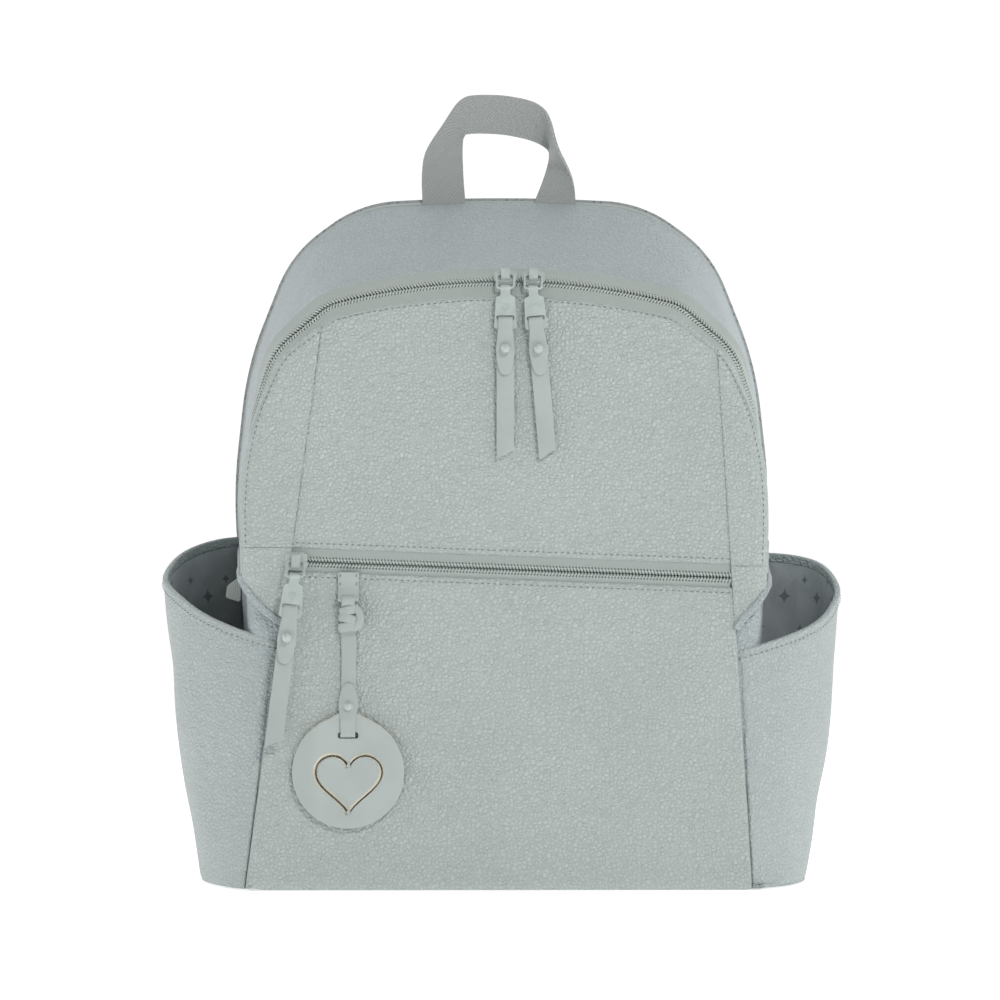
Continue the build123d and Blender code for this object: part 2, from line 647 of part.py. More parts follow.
RING_X, RING_Y, RING_Z = 108.0, 87.6, 372.0
with BuildPart() as stroller_ring_tabs:
    for side in (-1, 1):
        box(Plane.XY, *sorted((side * (RING_X - 12), side * (RING_X + 12))), 83.2, 85.2, RING_Z - 2.5, RING_Z + 22)
        with BuildSketch(Plane(origin=(side * RING_X - 10, RING_Y, RING_Z), x_dir=(0, 1, 0), z_dir=(1, 0, 0))):
            Circle(3.4)
            with Locations((-2.2, 1.7)):
                Rectangle(4.4, 3.4)
        extrude(amount=20)
        with BuildSketch(Plane(origin=(side * RING_X - 14, RING_Y, RING_Z), x_dir=(0, 1, 0), z_dir=(1, 0, 0))):
            Circle(1.85)
        extrude(amount=28, mode=Mode.SUBTRACT)
    box(Plane.XY, -200, 200, 70, 83.2, 300, 420, mode=Mode.SUBTRACT)
keep("stroller_ring_tabs", stroller_ring_tabs)

for side, word in ((-1, "left"), (1, "right")):
    ring_plane = Plane(origin=(side * RING_X, RING_Y, RING_Z), x_dir=(1, 0, 0), z_dir=(0, -1, 0))
    with BuildPart() as stroller_ring:
        wire(ring_plane, [(-14, 0), (14, 0), (14, -12), (7, -22), (-7, -22), (-14, -12)],
             [3, 3, 6, 6, 6, 6], 3.2)
    keep(f"stroller_ring_{word}", stroller_ring)
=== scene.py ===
"""Backpack diaper bag: soft leather shell, zips, pulls, tag, pockets and carrying straps.

Lengths in the code are millimetres on the bag; meshes are made in metres.
"""
import json
import math

import bpy
import numpy as np
from bpy.props import FloatProperty, FloatVectorProperty, PointerProperty
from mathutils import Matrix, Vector
from mathutils.bvhtree import BVHTree


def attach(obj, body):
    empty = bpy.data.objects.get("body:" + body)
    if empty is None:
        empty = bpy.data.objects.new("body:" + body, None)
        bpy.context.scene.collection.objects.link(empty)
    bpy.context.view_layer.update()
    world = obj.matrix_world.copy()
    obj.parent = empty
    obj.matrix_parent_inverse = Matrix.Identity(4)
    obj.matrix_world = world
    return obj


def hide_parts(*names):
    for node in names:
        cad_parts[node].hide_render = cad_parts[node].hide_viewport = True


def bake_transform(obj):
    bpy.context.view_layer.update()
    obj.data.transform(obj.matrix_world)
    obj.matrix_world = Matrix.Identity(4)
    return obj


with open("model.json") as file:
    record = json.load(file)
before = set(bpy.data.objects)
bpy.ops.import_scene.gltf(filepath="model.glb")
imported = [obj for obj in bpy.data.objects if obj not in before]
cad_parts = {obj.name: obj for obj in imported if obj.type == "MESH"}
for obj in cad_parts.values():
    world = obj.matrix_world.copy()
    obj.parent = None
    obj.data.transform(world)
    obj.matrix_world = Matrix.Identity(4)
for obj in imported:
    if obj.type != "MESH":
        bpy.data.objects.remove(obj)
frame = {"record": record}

bl_info = {
    "name": "Diaper Bag",
    "version": (1, 0, 0),
    "blender": (4, 5, 0),
    "location": "View3D > Sidebar > Diaper Bag",
    "description": "Makes a backpack diaper bag round its hard frame",
    "category": "Object",
}

MM = 0.001
SHARP_EDGE = math.radians(40)
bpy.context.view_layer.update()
RECORD = frame["record"]
JOINTS = {j["name"]: j for j in RECORD["behaviour"]["joints"]}
LR = ((-1, "left"), (1, "right"))

# ---- the bag's own frame ------------------------------------------------
LEAN = math.radians(3)
AX = np.array([1.0, 0, 0])
AV = np.array([0, math.sin(LEAN), math.cos(LEAN)])
AN = np.array([0, -math.cos(LEAN), math.sin(LEAN)])
FOOT = np.array([0, -88.0, 0])
ZIP_N = -9.0
FOLD_SLOPE = math.tan(math.radians(-2.17))
FRONT_ZIP_V, FOLD_W, LOWER_W = 189.0, 7.3, -5.6
ZIP_HALF = [(148, 0), (157.5, 236), (150.5, 280), (136.5, 317.5), (104, 345.5), (0, 370.6)]
ZIP_BENDS = [300, 120, 45, 30, 400]
BACK_HALF = [(150, 0), (164.5, 236), (156, 312), (129, 380), (87, 411), (0, 415.2)]
BACK_BENDS = [300, 200, 75, 75, 1200]


def front(x, v, n):
    """Points on the leaning front: across, up and out."""
    x, v, n = np.broadcast_arrays(*(np.asarray(a, float) for a in (x, v, n)))
    return FOOT + x[..., None] * AX + v[..., None] * AV + n[..., None] * AN


def unit(a):
    a = np.asarray(a, float)
    return a / np.maximum(np.linalg.norm(a, axis=-1, keepdims=True), 1e-9)


def rounded(points, bends, step=1.5, closed=False):
    """Corner points joined by straight runs and arcs, as a dense line."""
    pts = [np.array(p, float) for p in points]
    bends = [bends] * len(pts) if np.isscalar(bends) else list(bends)
    if not closed and len(bends) == len(pts) - 2:
        bends = [0] + bends + [0]
    line = []
    for i, p in enumerate(pts):
        if bends[i] <= 0 or (not closed and i in (0, len(pts) - 1)):
            line.append(p)
            continue
        da, db = unit(pts[i - 1] - p), unit(pts[(i + 1) % len(pts)] - p)
        half = math.acos(np.clip(da @ db, -1, 1)) / 2
        if half > math.pi / 2 - 0.004:
            line.append(p)
            continue
        reach = bends[i] / math.tan(half)
        middle = unit(da + db) * bends[i] / math.sin(half)
        a, b = p + da * reach, p + db * reach
        count = max(2, math.ceil(bends[i] * (math.pi - 2 * half) / step))
        wa, wb = unit(a - p - middle), unit(b - p - middle)
        angle = math.acos(np.clip(wa @ wb, -1, 1))
        for k in range(count + 1):
            t = k / count
            w = (wa * math.sin((1 - t) * angle) + wb * math.sin(t * angle)) / math.sin(angle)
            line.append(p + middle + w * bends[i])
    return np.array(line)


def even(points, count=None, step=None, closed=False):
    """A line shared out into equal lengths."""
    points = np.asarray(points, float)
    if closed:
        points = np.vstack([points, points[:1]])
    size = np.concatenate([[0], np.cumsum(np.linalg.norm(np.diff(points, axis=0), axis=1))])
    count = count or max(2, int(round(size[-1] / step)) + (0 if closed else 1))
    at = np.linspace(0, size[-1], count, endpoint=not closed)
    return np.stack([np.interp(at, size, points[:, k]) for k in range(points.shape[1])], axis=1)


def run_of(points, closed=False):
    """Unit directions along a line."""
    if closed:
        return unit(np.roll(points, -1, 0) - np.roll(points, 1, 0))
    return unit(np.gradient(points, axis=0))


def arch(half, bends, low=0.0, count=420):
    """Rounded line over the bag from the right foot to the left foot, with outward normals."""
    (x0, v0), (x1, v1) = half[:2]
    start = (x0 + (x1 - x0) * (low - v0) / (v1 - v0), low)
    pts = [start] + list(half[1:])
    pts = pts + [(-x, v) for x, v in reversed(pts[:-1])]
    line = even(rounded(pts, bends + bends[-2::-1]), count=count)
    d = run_of(line)
    return line, np.stack([d[:, 1], -d[:, 0]], axis=1)


def grow(curve, m):
    return curve[0] + curve[1] * m


ZIP_ARCH = arch(ZIP_HALF, ZIP_BENDS)
HALFWAY = len(ZIP_ARCH[0]) // 2


def level(v, *steps):
    """A value read off a list of (height, value) steps."""
    return np.interp(v, [p[0] for p in steps], [p[1] for p in steps])


def front_strip(v):
    """How far inside the zip line the front leather ends."""
    return level(v, (250, -0.3), (300, -3.0), (330, -5.2), (348, -6.8), (358, -7.8))


EDGE = grow(ZIP_ARCH, front_strip(ZIP_ARCH[0][:, 1])[:, None])


def edge_x(v, m=0.0):
    """Half width of the front leather at a height."""
    side = EDGE[:HALFWAY]
    return np.interp(v, side[:, 1], side[:, 0]) + m


def edge_v(x, m=0.0):
    """Height of the front leather's top edge at a place across."""
    top = EDGE[EDGE[:, 1] > 300][::-1]
    return np.interp(x, top[:, 0], top[:, 1]) + m


def zip_x(v, m):
    """Half width of the zip line, moved outward by m, at a height."""
    side = grow(ZIP_ARCH, m)[:HALFWAY]
    return np.interp(v, side[:, 1], side[:, 0])


def zip_turn(v):
    """How far the zip leans from facing sideways, 0, to facing up and forward, in radians."""
    t = np.clip((np.asarray(v) - 255) / 88, 0, 1)
    return math.radians(45) * t * t * (3 - 2 * t) + 0.03


def zip_frame(line):
    """Places along the zip with its outward and rearward directions."""
    height = line[0][:, 1]
    spot = grow(line, level(height, (250, -3.2), (325, 0))[:, None])
    base = front(spot[:, 0], spot[:, 1], level(height, (250, -11.5), (325, ZIP_N)))
    away = line[1][:, :1] * AX + line[1][:, 1:] * AV
    turn = zip_turn(height)[:, None]
    return base, away * np.cos(turn) + AN * np.sin(turn), away * np.sin(turn) - AN * np.cos(turn)


def gusset_start(line):
    """Where the gusset leather begins, just behind the zip."""
    base, out, rear = zip_frame(line)
    reach = level(line[0][:, 1], (250, 6.5), (300, 5.4), (335, 5.6), (355, 7.0))
    return base + rear * reach[:, None] + out * 1.0


def seam_x(side, v):
    """Where the front panel meets the wedge; the sewn panel drifts a little sideways."""
    return side * (149 - 0.0955 * v) - 3.5 + 0.036 * v


def fold_v(x, w=FOLD_W):
    return FRONT_ZIP_V + FOLD_SLOPE * x + w


def seam_tip(side):
    """Height where the seam runs out under the zip."""
    v = np.linspace(280, 350, 500)
    return float(v[np.argmin(abs(side * seam_x(side, v) - edge_x(v)))])


def spaced(length, step=4.0, edge=(0, 0.35, 0.8, 1.4, 2.2, 3.2, 5.0)):
    """Shares of a length, closer together near both ends."""
    edge = [e for e in edge if e < length / 3]
    middle = np.linspace(edge[-1], length - edge[-1], max(3, int((length - 2 * edge[-1]) / step)))
    return np.array(edge[:-1] + list(middle) + [length - e for e in reversed(edge[:-1])]) / length


def edge_roll(d, radius, drop):
    """How far a turned edge falls at a distance from it."""
    t = np.clip(1 - d / radius, 0, 1)
    return drop * (1 - np.sqrt(np.maximum(1 - t * t, 0)))


def ripple(a, b, scale, seed=0.0):
    """Soft unevenness from a few crossed waves, between about -1 and 1."""
    a, b = np.asarray(a) / scale, np.asarray(b) / scale
    return (np.sin(a * 2.1 + 1.3 * np.sin(b * 1.7 + seed)) * np.cos(b * 1.9 + 0.8 * np.sin(a * 1.1 + seed * 2))
            + 0.5 * np.sin(a * 4.3 + b * 2.9 + seed * 3)) / 1.5


# ---- meshes -------------------------------------------------------------
class Pile:
    """Gathers grids, bands, balls and plates into one mesh."""

    def __init__(self):
        self.verts, self.faces, self.uvs, self.mats = [], [], [], []
        self.count = 0

    def raw(self, verts, faces, uv=None, mat=0):
        verts = np.asarray(verts, float).reshape(-1, 3)
        uv = np.zeros((len(verts), 2)) if uv is None else np.asarray(uv, float).reshape(-1, 2)
        self.verts.append(verts)
        self.uvs.append(uv)
        self.faces += [tuple(i + self.count for i in f) for f in faces]
        self.mats += [mat] * len(faces)
        self.count += len(verts)

    def grid(self, pts, wrap_u=False, wrap_v=False, flip=False, mat=0):
        """Quads over a grid of points, wound so that u x v faces out."""
        nu, nv = pts.shape[:2]
        faces = []
        for i in range(nu if wrap_u else nu - 1):
            for j in range(nv if wrap_v else nv - 1):
                a, b = i * nv + j, ((i + 1) % nu) * nv + j
                c, d = ((i + 1) % nu) * nv + (j + 1) % nv, i * nv + (j + 1) % nv
                faces.append((d, c, b, a) if flip else (a, b, c, d))
        self.raw(pts, faces, lengths(pts), mat)

    def shell(self, pts, thick, mat=0):
        """A closed sheet of some thickness behind a grid whose u x v faces out."""
        normal = grid_normals(pts)
        back = pts - normal * (np.asarray(thick)[..., None] if not np.isscalar(thick) else thick)
        nu, nv = pts.shape[:2]
        rim = [(i, 0) for i in range(nu)] + [(nu - 1, j) for j in range(1, nv)]
        rim += [(i, nv - 1) for i in range(nu - 2, -1, -1)] + [(0, j) for j in range(nv - 2, 0, -1)]
        n = nu * nv
        faces, mats = [], []
        for i in range(nu - 1):
            for j in range(nv - 1):
                a, b, c, d = i * nv + j, (i + 1) * nv + j, (i + 1) * nv + j + 1, i * nv + j + 1
                faces += [(a, b, c, d), (n + d, n + c, n + b, n + a)]
                mats += [mat, mat]
        for k, (i, j) in enumerate(rim):
            i2, j2 = rim[(k + 1) % len(rim)]
            a, b = i * nv + j, i2 * nv + j2
            faces.append((b, a, n + a, n + b))
            mats.append(mat)
        uv = lengths(pts)
        self.raw(np.concatenate([pts.reshape(-1, 3), back.reshape(-1, 3)]), faces, np.concatenate([uv, uv]))
        self.mats[-len(faces):] = mats

    def band(self, path, side, up, profile, closed=False, mat=0, slide=None):
        """A closed profile carried along a path; slide leans each profile along the path."""
        profile = np.asarray(profile, float)
        if profile.ndim == 2:
            profile = np.repeat(profile[None], len(path), 0)
        pts = path[:, None] + profile[..., :1] * side[:, None] + profile[..., 1:] * up[:, None]
        if slide is not None:
            pts = pts + (np.asarray(slide)[:, None, None] * profile[..., :1]) * run_of(path)[:, None]
        start = self.count
        area = profile[0]
        turn = np.sum(area[:, 0] * np.roll(area[:, 1], -1) - area[:, 1] * np.roll(area[:, 0], -1))
        hand = np.sum(np.cross(side[0], up[0]) * (path[1] - path[0]))
        flip = (turn * hand) > 0
        self.grid(pts, wrap_u=closed, wrap_v=True, flip=flip, mat=mat)
        if not closed:
            k, last = pts.shape[1], start + (len(path) - 1) * pts.shape[1]
            first = list(range(start, start + k))
            end = list(range(last, last + k))
            self.faces += [tuple(first if flip else first[::-1]), tuple(end[::-1] if flip else end)]
            self.mats += [mat, mat]

    def ball(self, centre, axes, mat=0, rings=12, segs=20):
        """An ellipsoid from its three half-axis vectors."""
        axes = np.asarray(axes, float)
        u = np.linspace(0, 2 * math.pi, segs, endpoint=False)
        pts, faces = [centre + axes[2]], []
        for r in range(1, rings):
            a = math.pi * r / rings
            pts += [centre + axes[0] * math.sin(a) * math.cos(t) + axes[1] * math.sin(a) * math.sin(t)
                    + axes[2] * math.cos(a) for t in u]
        pts.append(centre - axes[2])
        for k in range(segs):
            n = (k + 1) % segs
            faces.append((0, 1 + k, 1 + n))
            faces.append((len(pts) - 1, 1 + (rings - 2) * segs + n, 1 + (rings - 2) * segs + k))
            for r in range(rings - 2):
                a, b = 1 + r * segs, 1 + (r + 1) * segs
                faces.append((a + k, b + k, b + n, a + n))
        if np.linalg.det(axes) < 0:
            faces = [f[::-1] for f in faces]
        self.raw(pts, faces, None, mat)

    def plate(self, outlines, z0, z1, origin, across, along, bevel=0.3, mat=0, bend=None):
        """A flat shape, the first outline less the others, with softened edges.
        bend maps its local points to others before they are placed."""
        curve = bpy.data.curves.new("shape", "CURVE")
        curve.dimensions, curve.fill_mode = "2D", "BOTH"
        for outline in outlines:
            spline = curve.splines.new("POLY")
            spline.points.add(len(outline) - 1)
            for p, q in zip(spline.points, outline):
                p.co = (q[0], q[1], 0, 1)
            spline.use_cyclic_u = True
        curve.extrude = (z1 - z0) / 2 - bevel
        curve.bevel_depth, curve.bevel_resolution, curve.offset = bevel, 1, -bevel
        holder = bpy.data.objects.new("shape", curve)
        bpy.context.scene.collection.objects.link(holder)
        bpy.context.view_layer.update()
        mesh = bpy.data.meshes.new_from_object(holder.evaluated_get(bpy.context.evaluated_depsgraph_get()))
        bpy.data.objects.remove(holder)
        local = np.array([v.co for v in mesh.vertices]) + [0, 0, (z0 + z1) / 2]
        faces = [tuple(f.vertices) for f in mesh.polygons]
        bpy.data.meshes.remove(mesh)
        bpy.data.curves.remove(curve)
        if bend:
            local = bend(local)
        across, along = np.asarray(across, float), np.asarray(along, float)
        out = np.cross(across, along)
        pts = origin + local[:, :1] * across + local[:, 1:2] * along + local[:, 2:] * out
        self.raw(pts, faces, local[:, :2] * 0.01, mat)

    def build(self, name, materials, body, replaces=()):
        mesh = bpy.data.meshes.new(name)
        mesh.from_pydata((np.concatenate(self.verts) * MM).tolist(), [], self.faces)
        layer = mesh.uv_layers.new(name="UVMap")
        uv = np.concatenate(self.uvs)
        corners = np.zeros(len(mesh.loops), int)
        mesh.loops.foreach_get("vertex_index", corners)
        layer.data.foreach_set("uv", uv[corners].astype(np.float32).ravel())
        for m in ([materials] if isinstance(materials, str) else materials):
            mesh.materials.append(finish_of(m))
        mesh.polygons.foreach_set("material_index", self.mats)
        mesh.shade_smooth()
        obj = bpy.data.objects.new(name, mesh)
        bpy.context.scene.collection.objects.link(obj)
        mesh.set_sharp_from_angle(angle=SHARP_EDGE)
        mesh.update()
        return settle(obj, body, replaces)


def settle(obj, body, replaces=()):
    """Rides a finished piece on its body."""
    if body:
        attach(obj, body)
    if replaces:
        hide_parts(*replaces)
    return obj


def cloth(obj):
    """Reads a lining panel's map, laid out by distances over its own grid; the values are not used further."""
    uv = np.zeros(len(obj.data.loops) * 2, np.float32)
    obj.data.uv_layers[0].data.foreach_get("uv", uv)


def lengths(pts):
    """Distances along and across a grid, as map coordinates."""
    du = np.linalg.norm(np.diff(pts, axis=0), axis=2)
    dv = np.linalg.norm(np.diff(pts, axis=1), axis=2)
    u = np.concatenate([np.zeros((1, pts.shape[1])), np.cumsum(du, axis=0)])
    v = np.concatenate([np.zeros((pts.shape[0], 1)), np.cumsum(dv, axis=1)], axis=1)
    return np.stack([u.mean(axis=1)[:, None].repeat(pts.shape[1], 1), v], axis=-1).reshape(-1, 2) * 0.01


def grid_normals(pts):
    return unit(np.cross(np.gradient(pts, axis=0), np.gradient(pts, axis=1)))


def ring(radius_x, radius_y, count=12, power=2.0):
    """A closed rounded profile."""
    t = np.linspace(0, 2 * math.pi, count, endpoint=False)
    c, s = np.cos(t), np.sin(t)
    return np.stack([np.sign(c) * abs(c) ** (2 / power) * radius_x,
                     np.sign(s) * abs(s) ** (2 / power) * radius_y], axis=1)


def slat(width, thick, soft=0.4):
    """A flat profile with rounded edges."""
    w, h = width / 2, thick / 2
    soft = min(soft, h * 0.98)
    pts = rounded([(-w, -h), (w, -h), (w, h), (-w, h)], soft, step=soft * 0.7, closed=True)
    return pts


def drape(points, toward, objects, lift=0.2, reach=40.0):
    """Points moved along a direction until they lie on the objects."""
    trees = [BVHTree.FromPolygons([v.co for v in o.data.vertices], [f.vertices for f in o.data.polygons])
             for o in objects]
    toward = np.broadcast_to(unit(toward), points.shape)
    found = []
    for p, d in zip(points, toward):
        start, way = Vector((p - d * reach) * MM), Vector(d)
        hits = [t.ray_cast(start, way, 2 * reach * MM) for t in trees]
        hits = [h for h in hits if h[0] is not None]
        if hits:
            best = min(hits, key=lambda h: h[3])
            found.append(np.array(best[0]) / MM - d * lift)
    return np.array(found)


# ---- shader building ----------------------------------------------------
class Wire:
    """A number or colour socket that takes part in expressions."""

    def __init__(self, shader, socket):
        self.shader, self.socket = shader, socket

    def _math(self, operation, a, b=0.0):
        return self.shader.node("ShaderNodeMath", {"operation": operation}, {0: a, 1: b})

    def __add__(self, o): return self._math("ADD", self, o)
    def __radd__(self, o): return self._math("ADD", o, self)
    def __sub__(self, o): return self._math("SUBTRACT", self, o)
    def __rsub__(self, o): return self._math("SUBTRACT", o, self)
    def __mul__(self, o): return self._math("MULTIPLY", self, o)
    def __rmul__(self, o): return self._math("MULTIPLY", o, self)
    def __truediv__(self, o): return self._math("DIVIDE", self, o)
    def __pow__(self, o): return self._math("POWER", self, o)

    def ease(self, low, high, a=0.0, b=1.0):
        """Smooth step from a to b between two limits."""
        return self.shader.node("ShaderNodeMapRange", {"interpolation_type": "SMOOTHSTEP"},
                                {"Value": self, "From Min": low, "From Max": high, "To Min": a, "To Max": b})

    def wave(self):
        return self._math("SINE", self)

    def most(self, o):
        return self._math("MAXIMUM", self, o)

    def least(self, o):
        return self._math("MINIMUM", self, o)

    def part(self):
        return self._math("FRACT", self)

    def size(self):
        return self._math("ABSOLUTE", self)


class Shader:
    """One material and its node tree."""

    def __init__(self, name, **constants):
        self.material = bpy.data.materials.new(name)
        self.material.use_nodes = True
        self.tree = self.material.node_tree
        self.surface = self.tree.nodes["Principled BSDF"]
        for key, value in constants.items():
            self.surface.inputs[key.replace("_", " ")].default_value = value

    def node(self, kind, settings=None, inputs=None, output=0):
        node = self.tree.nodes.new(kind)
        for key, value in (settings or {}).items():
            setattr(node, key, value)
        for key, value in (inputs or {}).items():
            if isinstance(value, Wire):
                self.tree.links.new(value.socket, node.inputs[key])
            else:
                node.inputs[key].default_value = value
        return Wire(self, node.outputs[output])

    def place(self, scale=1.0, uv=False):
        """Position on the piece, in metres times scale, or its own map."""
        spot = self.node("ShaderNodeTexCoord", output=2 if uv else 3)
        return self.node("ShaderNodeVectorMath", {"operation": "SCALE"}, {0: spot, "Scale": scale})

    def axes(self, vector):
        split = self.tree.nodes.new("ShaderNodeSeparateXYZ")
        self.tree.links.new(vector.socket, split.inputs[0])
        return [Wire(self, o) for o in split.outputs]

    def noise(self, where, scale, detail=3.0, rough=0.5, warp=0.0):
        return self.node("ShaderNodeTexNoise", None, {"Vector": where, "Scale": scale, "Detail": detail,
                                                      "Roughness": rough, "Distortion": warp})

    def cells(self, where, scale, feature="F1", output=0):
        return self.node("ShaderNodeTexVoronoi", {"feature": feature}, {"Vector": where, "Scale": scale}, output)

    def blend(self, share, a, b):
        mix = self.tree.nodes.new("ShaderNodeMix")
        mix.data_type = "RGBA"
        for key, value in ((0, share), (6, a), (7, b)):
            if isinstance(value, Wire):
                self.tree.links.new(value.socket, mix.inputs[key])
            else:
                mix.inputs[key].default_value = value
        return Wire(self, mix.outputs[2])

    def feed(self, socket, wire):
        self.tree.links.new(wire.socket, self.surface.inputs[socket])

    def relief(self, height, distance, strength=1.0):
        self.feed("Normal", self.node("ShaderNodeBump", None, {"Strength": strength, "Distance": distance,
                                                              "Height": height}))


def rgb(*colour):
    """A display colour as linear light."""
    return tuple(((c / 255 + 0.055) / 1.055) ** 2.4 for c in colour) + (1.0,)


def shade(colour, factor):
    return tuple(c * factor for c in tuple(colour)[:3]) + (1.0,)


FINISHES = {}


def finish_of(name):
    """The named finish, made on first use."""
    if name not in FINISHES:
        FINISHES[name] = RECIPES[name](name, bpy.context.scene.bag_colours)
    return FINISHES[name]


def leather(name, colour, grain=1.0, pebble=430.0, rough=0.5, sheen=0.12):
    """Pebbled soft leather: rounded cells, fine pores, broad uneven dye and painted shade darkening the crevices
    between the cells.
    """
    s = Shader(name, Sheen_Weight=sheen, Sheen_Roughness=0.4, Specular_IOR_Level=0.5)
    s.surface.inputs["Sheen Tint"].default_value = (0.85, 0.93, 1.0, 1.0)
    spot = s.place()
    shift = s.node("ShaderNodeTexNoise", None, {"Vector": spot, "Scale": 240.0, "Detail": 1.0}, output=1)
    warped = s.node("ShaderNodeVectorMath", {"operation": "MULTIPLY_ADD"},
                    {0: shift, 1: (0.0024, 0.0024, 0.0024), 2: spot})
    edge = s.cells(warped, pebble, "DISTANCE_TO_EDGE")
    cell = s.cells(warped, pebble, "SMOOTH_F1")
    fine = s.cells(warped, pebble * 2.3, "SMOOTH_F1")
    broad, creased = s.noise(spot, 14.0, 3.0), s.noise(spot, 75.0, 4.0, 0.6, 0.6)
    bump = edge.ease(0.0, 0.24)
    height = bump * 0.32 + (1 - cell) * 0.85 + (1 - fine) * 0.25 + creased * 1.1
    tone = s.blend(broad.ease(0.3, 0.7), shade(colour, 0.97), shade(colour, 1.02))
    # painted shade: the crevices between the pebbles are darkened towards 0.6 of the colour, standing in for the shade
    # that falls in them
    tone = s.blend(edge.ease(0.0, 0.14, 0.42, 0.0), tone, shade(colour, 0.6))
    s.feed("Base Color", tone)
    s.feed("Roughness", (1 - bump) * 0.18 + broad * 0.08 + (rough - 0.08))
    s.relief(height, 0.0010 * grain, 1.0)
    return s.material


def smooth_leather(name, colour, rough=0.48):
    s = Shader(name, Sheen_Weight=0.15, Specular_IOR_Level=0.4)
    spot = s.place()
    fine, broad = s.noise(spot, 1700.0, 4.0, 0.65), s.noise(spot, 40.0, 3.0)
    s.feed("Base Color", s.blend(broad.ease(0.3, 0.7), shade(colour, 0.95), shade(colour, 1.03)))
    s.feed("Roughness", fine * 0.15 + (rough - 0.07))
    s.relief(fine + s.cells(spot, 1300.0) * 0.5, 0.00006, 0.8)
    return s.material


def woven(name, colour, pitch=0.0009, ridge=0.8, diagonal=True, rough=0.72, sheen=0.35):
    """Twill or plain weave that follows the piece's own map."""
    s = Shader(name, Sheen_Weight=sheen, Sheen_Roughness=0.5, Specular_IOR_Level=0.3)
    u, v, _ = s.axes(s.place(0.1, uv=True))
    turn = 2 * math.pi / pitch
    if diagonal:
        line = ((u + v) * (turn * 0.7)).wave()
        fill = ((u - v) * (turn * 1.5)).wave()
    else:
        line, fill = (u * turn).wave(), (v * turn).wave()
    weave = (line * 0.5 + 0.5) * 0.7 + (line * fill) * 0.15 + 0.15
    fuzz = s.noise(s.place(), 900.0, 3.0)
    s.feed("Base Color", s.blend(weave, shade(colour, 0.86), shade(colour, 1.06)))
    s.feed("Roughness", fuzz * 0.15 + (rough - 0.07))
    s.relief(weave + fuzz * 0.35, 0.00022 * ridge, 0.8)
    return s.material


def satin(name, colour, motif):
    """Satin lining with small four-pointed sparkles scattered over it, and painted shade and sheen along its folds."""
    s = Shader(name, Sheen_Weight=0.3, Sheen_Roughness=0.35, Specular_IOR_Level=0.5)
    u, v, _ = s.axes(s.place(0.1, uv=True))
    marks = None
    for pitch, offset, reach in ((0.030, 0.0, 0.19), (0.030, 0.5, 0.12)):
        a = ((u / pitch + offset).part() - 0.5).size()
        b = ((v / pitch + offset * 1.3).part() - 0.5).size()
        star = (a ** 0.55 + b ** 0.55).ease(reach ** 0.55 * 0.94, reach ** 0.55 * 1.06, 1.0, 0.0)
        marks = star if marks is None else marks.most(star)
    folds = s.noise(s.place(), 45.0, 3.0, 0.5, 0.8)
    fine = ((u * 2 * math.pi / 0.0006).wave() * 0.5 + 0.5)
    # painted shade and sheen: the colour turns darker and lighter with the fold pattern that also bumps the surface
    s.feed("Base Color", s.blend(marks * 0.85, s.blend(folds.ease(0.3, 0.7), shade(colour, 0.9),
                                                      shade(colour, 1.1)), motif))
    s.feed("Roughness", folds * 0.15 + 0.35)
    s.relief(folds * 2.0 + fine * 0.15, 0.0005, 0.7)
    return s.material


def metal_paint(name, colour, rough=0.33):
    """Satin paint on cast metal, slightly uneven."""
    s = Shader(name, Coat_Weight=0.25, Coat_Roughness=0.25, Specular_IOR_Level=0.5)
    spot = s.place()
    broad, fine = s.noise(spot, 160.0, 3.0), s.noise(spot, 2600.0, 2.0)
    s.feed("Base Color", s.blend(broad.ease(0.35, 0.7), shade(colour, 0.93), shade(colour, 1.04)))
    s.feed("Roughness", broad * 0.12 + (rough - 0.06))
    s.relief(fine, 0.00002, 0.6)
    return s.material


def pearl(name, colour):
    s = Shader(name, Coat_Weight=0.9, Coat_Roughness=0.06, Specular_IOR_Level=0.6)
    broad = s.noise(s.place(), 260.0, 2.0)
    s.feed("Base Color", s.blend(broad, shade(colour, 0.95), shade(colour, 1.05)))
    s.feed("Roughness", broad * 0.08 + 0.14)
    return s.material


def moulded(name, colour, rough=0.4):
    s = Shader(name, Specular_IOR_Level=0.45)
    fine, broad = s.noise(s.place(), 3200.0, 2.0), s.noise(s.place(), 90.0, 2.0)
    s.feed("Base Color", s.blend(broad, shade(colour, 0.96), shade(colour, 1.04)))
    s.feed("Roughness", fine * 0.12 + (rough - 0.05))
    s.relief(fine, 0.00003, 0.6)
    return s.material


def air_mesh(name, colour):
    """Knitted spacer mesh with rows of small holes, painted darker as the shade inside them."""
    s = Shader(name, Sheen_Weight=0.4, Sheen_Roughness=0.5, Specular_IOR_Level=0.25)
    spot = s.place()
    holes = s.cells(spot, 420.0).ease(0.12, 0.42)
    fuzz = s.noise(spot, 1500.0, 3.0)
    # painted shade: the holes are coloured at 0.55 of the colour, standing in for the shade inside them
    s.feed("Base Color", s.blend(holes, shade(colour, 0.55), shade(colour, 1.02)))
    s.feed("Roughness", fuzz * 0.15 + 0.7)
    s.relief(holes + fuzz * 0.3, 0.0005, 0.8)
    return s.material


def ground(name, colour):
    s = Shader(name, Specular_IOR_Level=0.1, Emission_Strength=0.52)
    s.surface.inputs["Emission Color"].default_value = (1, 1, 1, 1)
    broad = s.noise(s.place(), 1.2, 1.0)
    s.feed("Base Color", s.blend(broad, shade(colour, 0.998), shade(colour, 1.0)))
    s.surface.inputs["Roughness"].default_value = 0.9
    return s.material


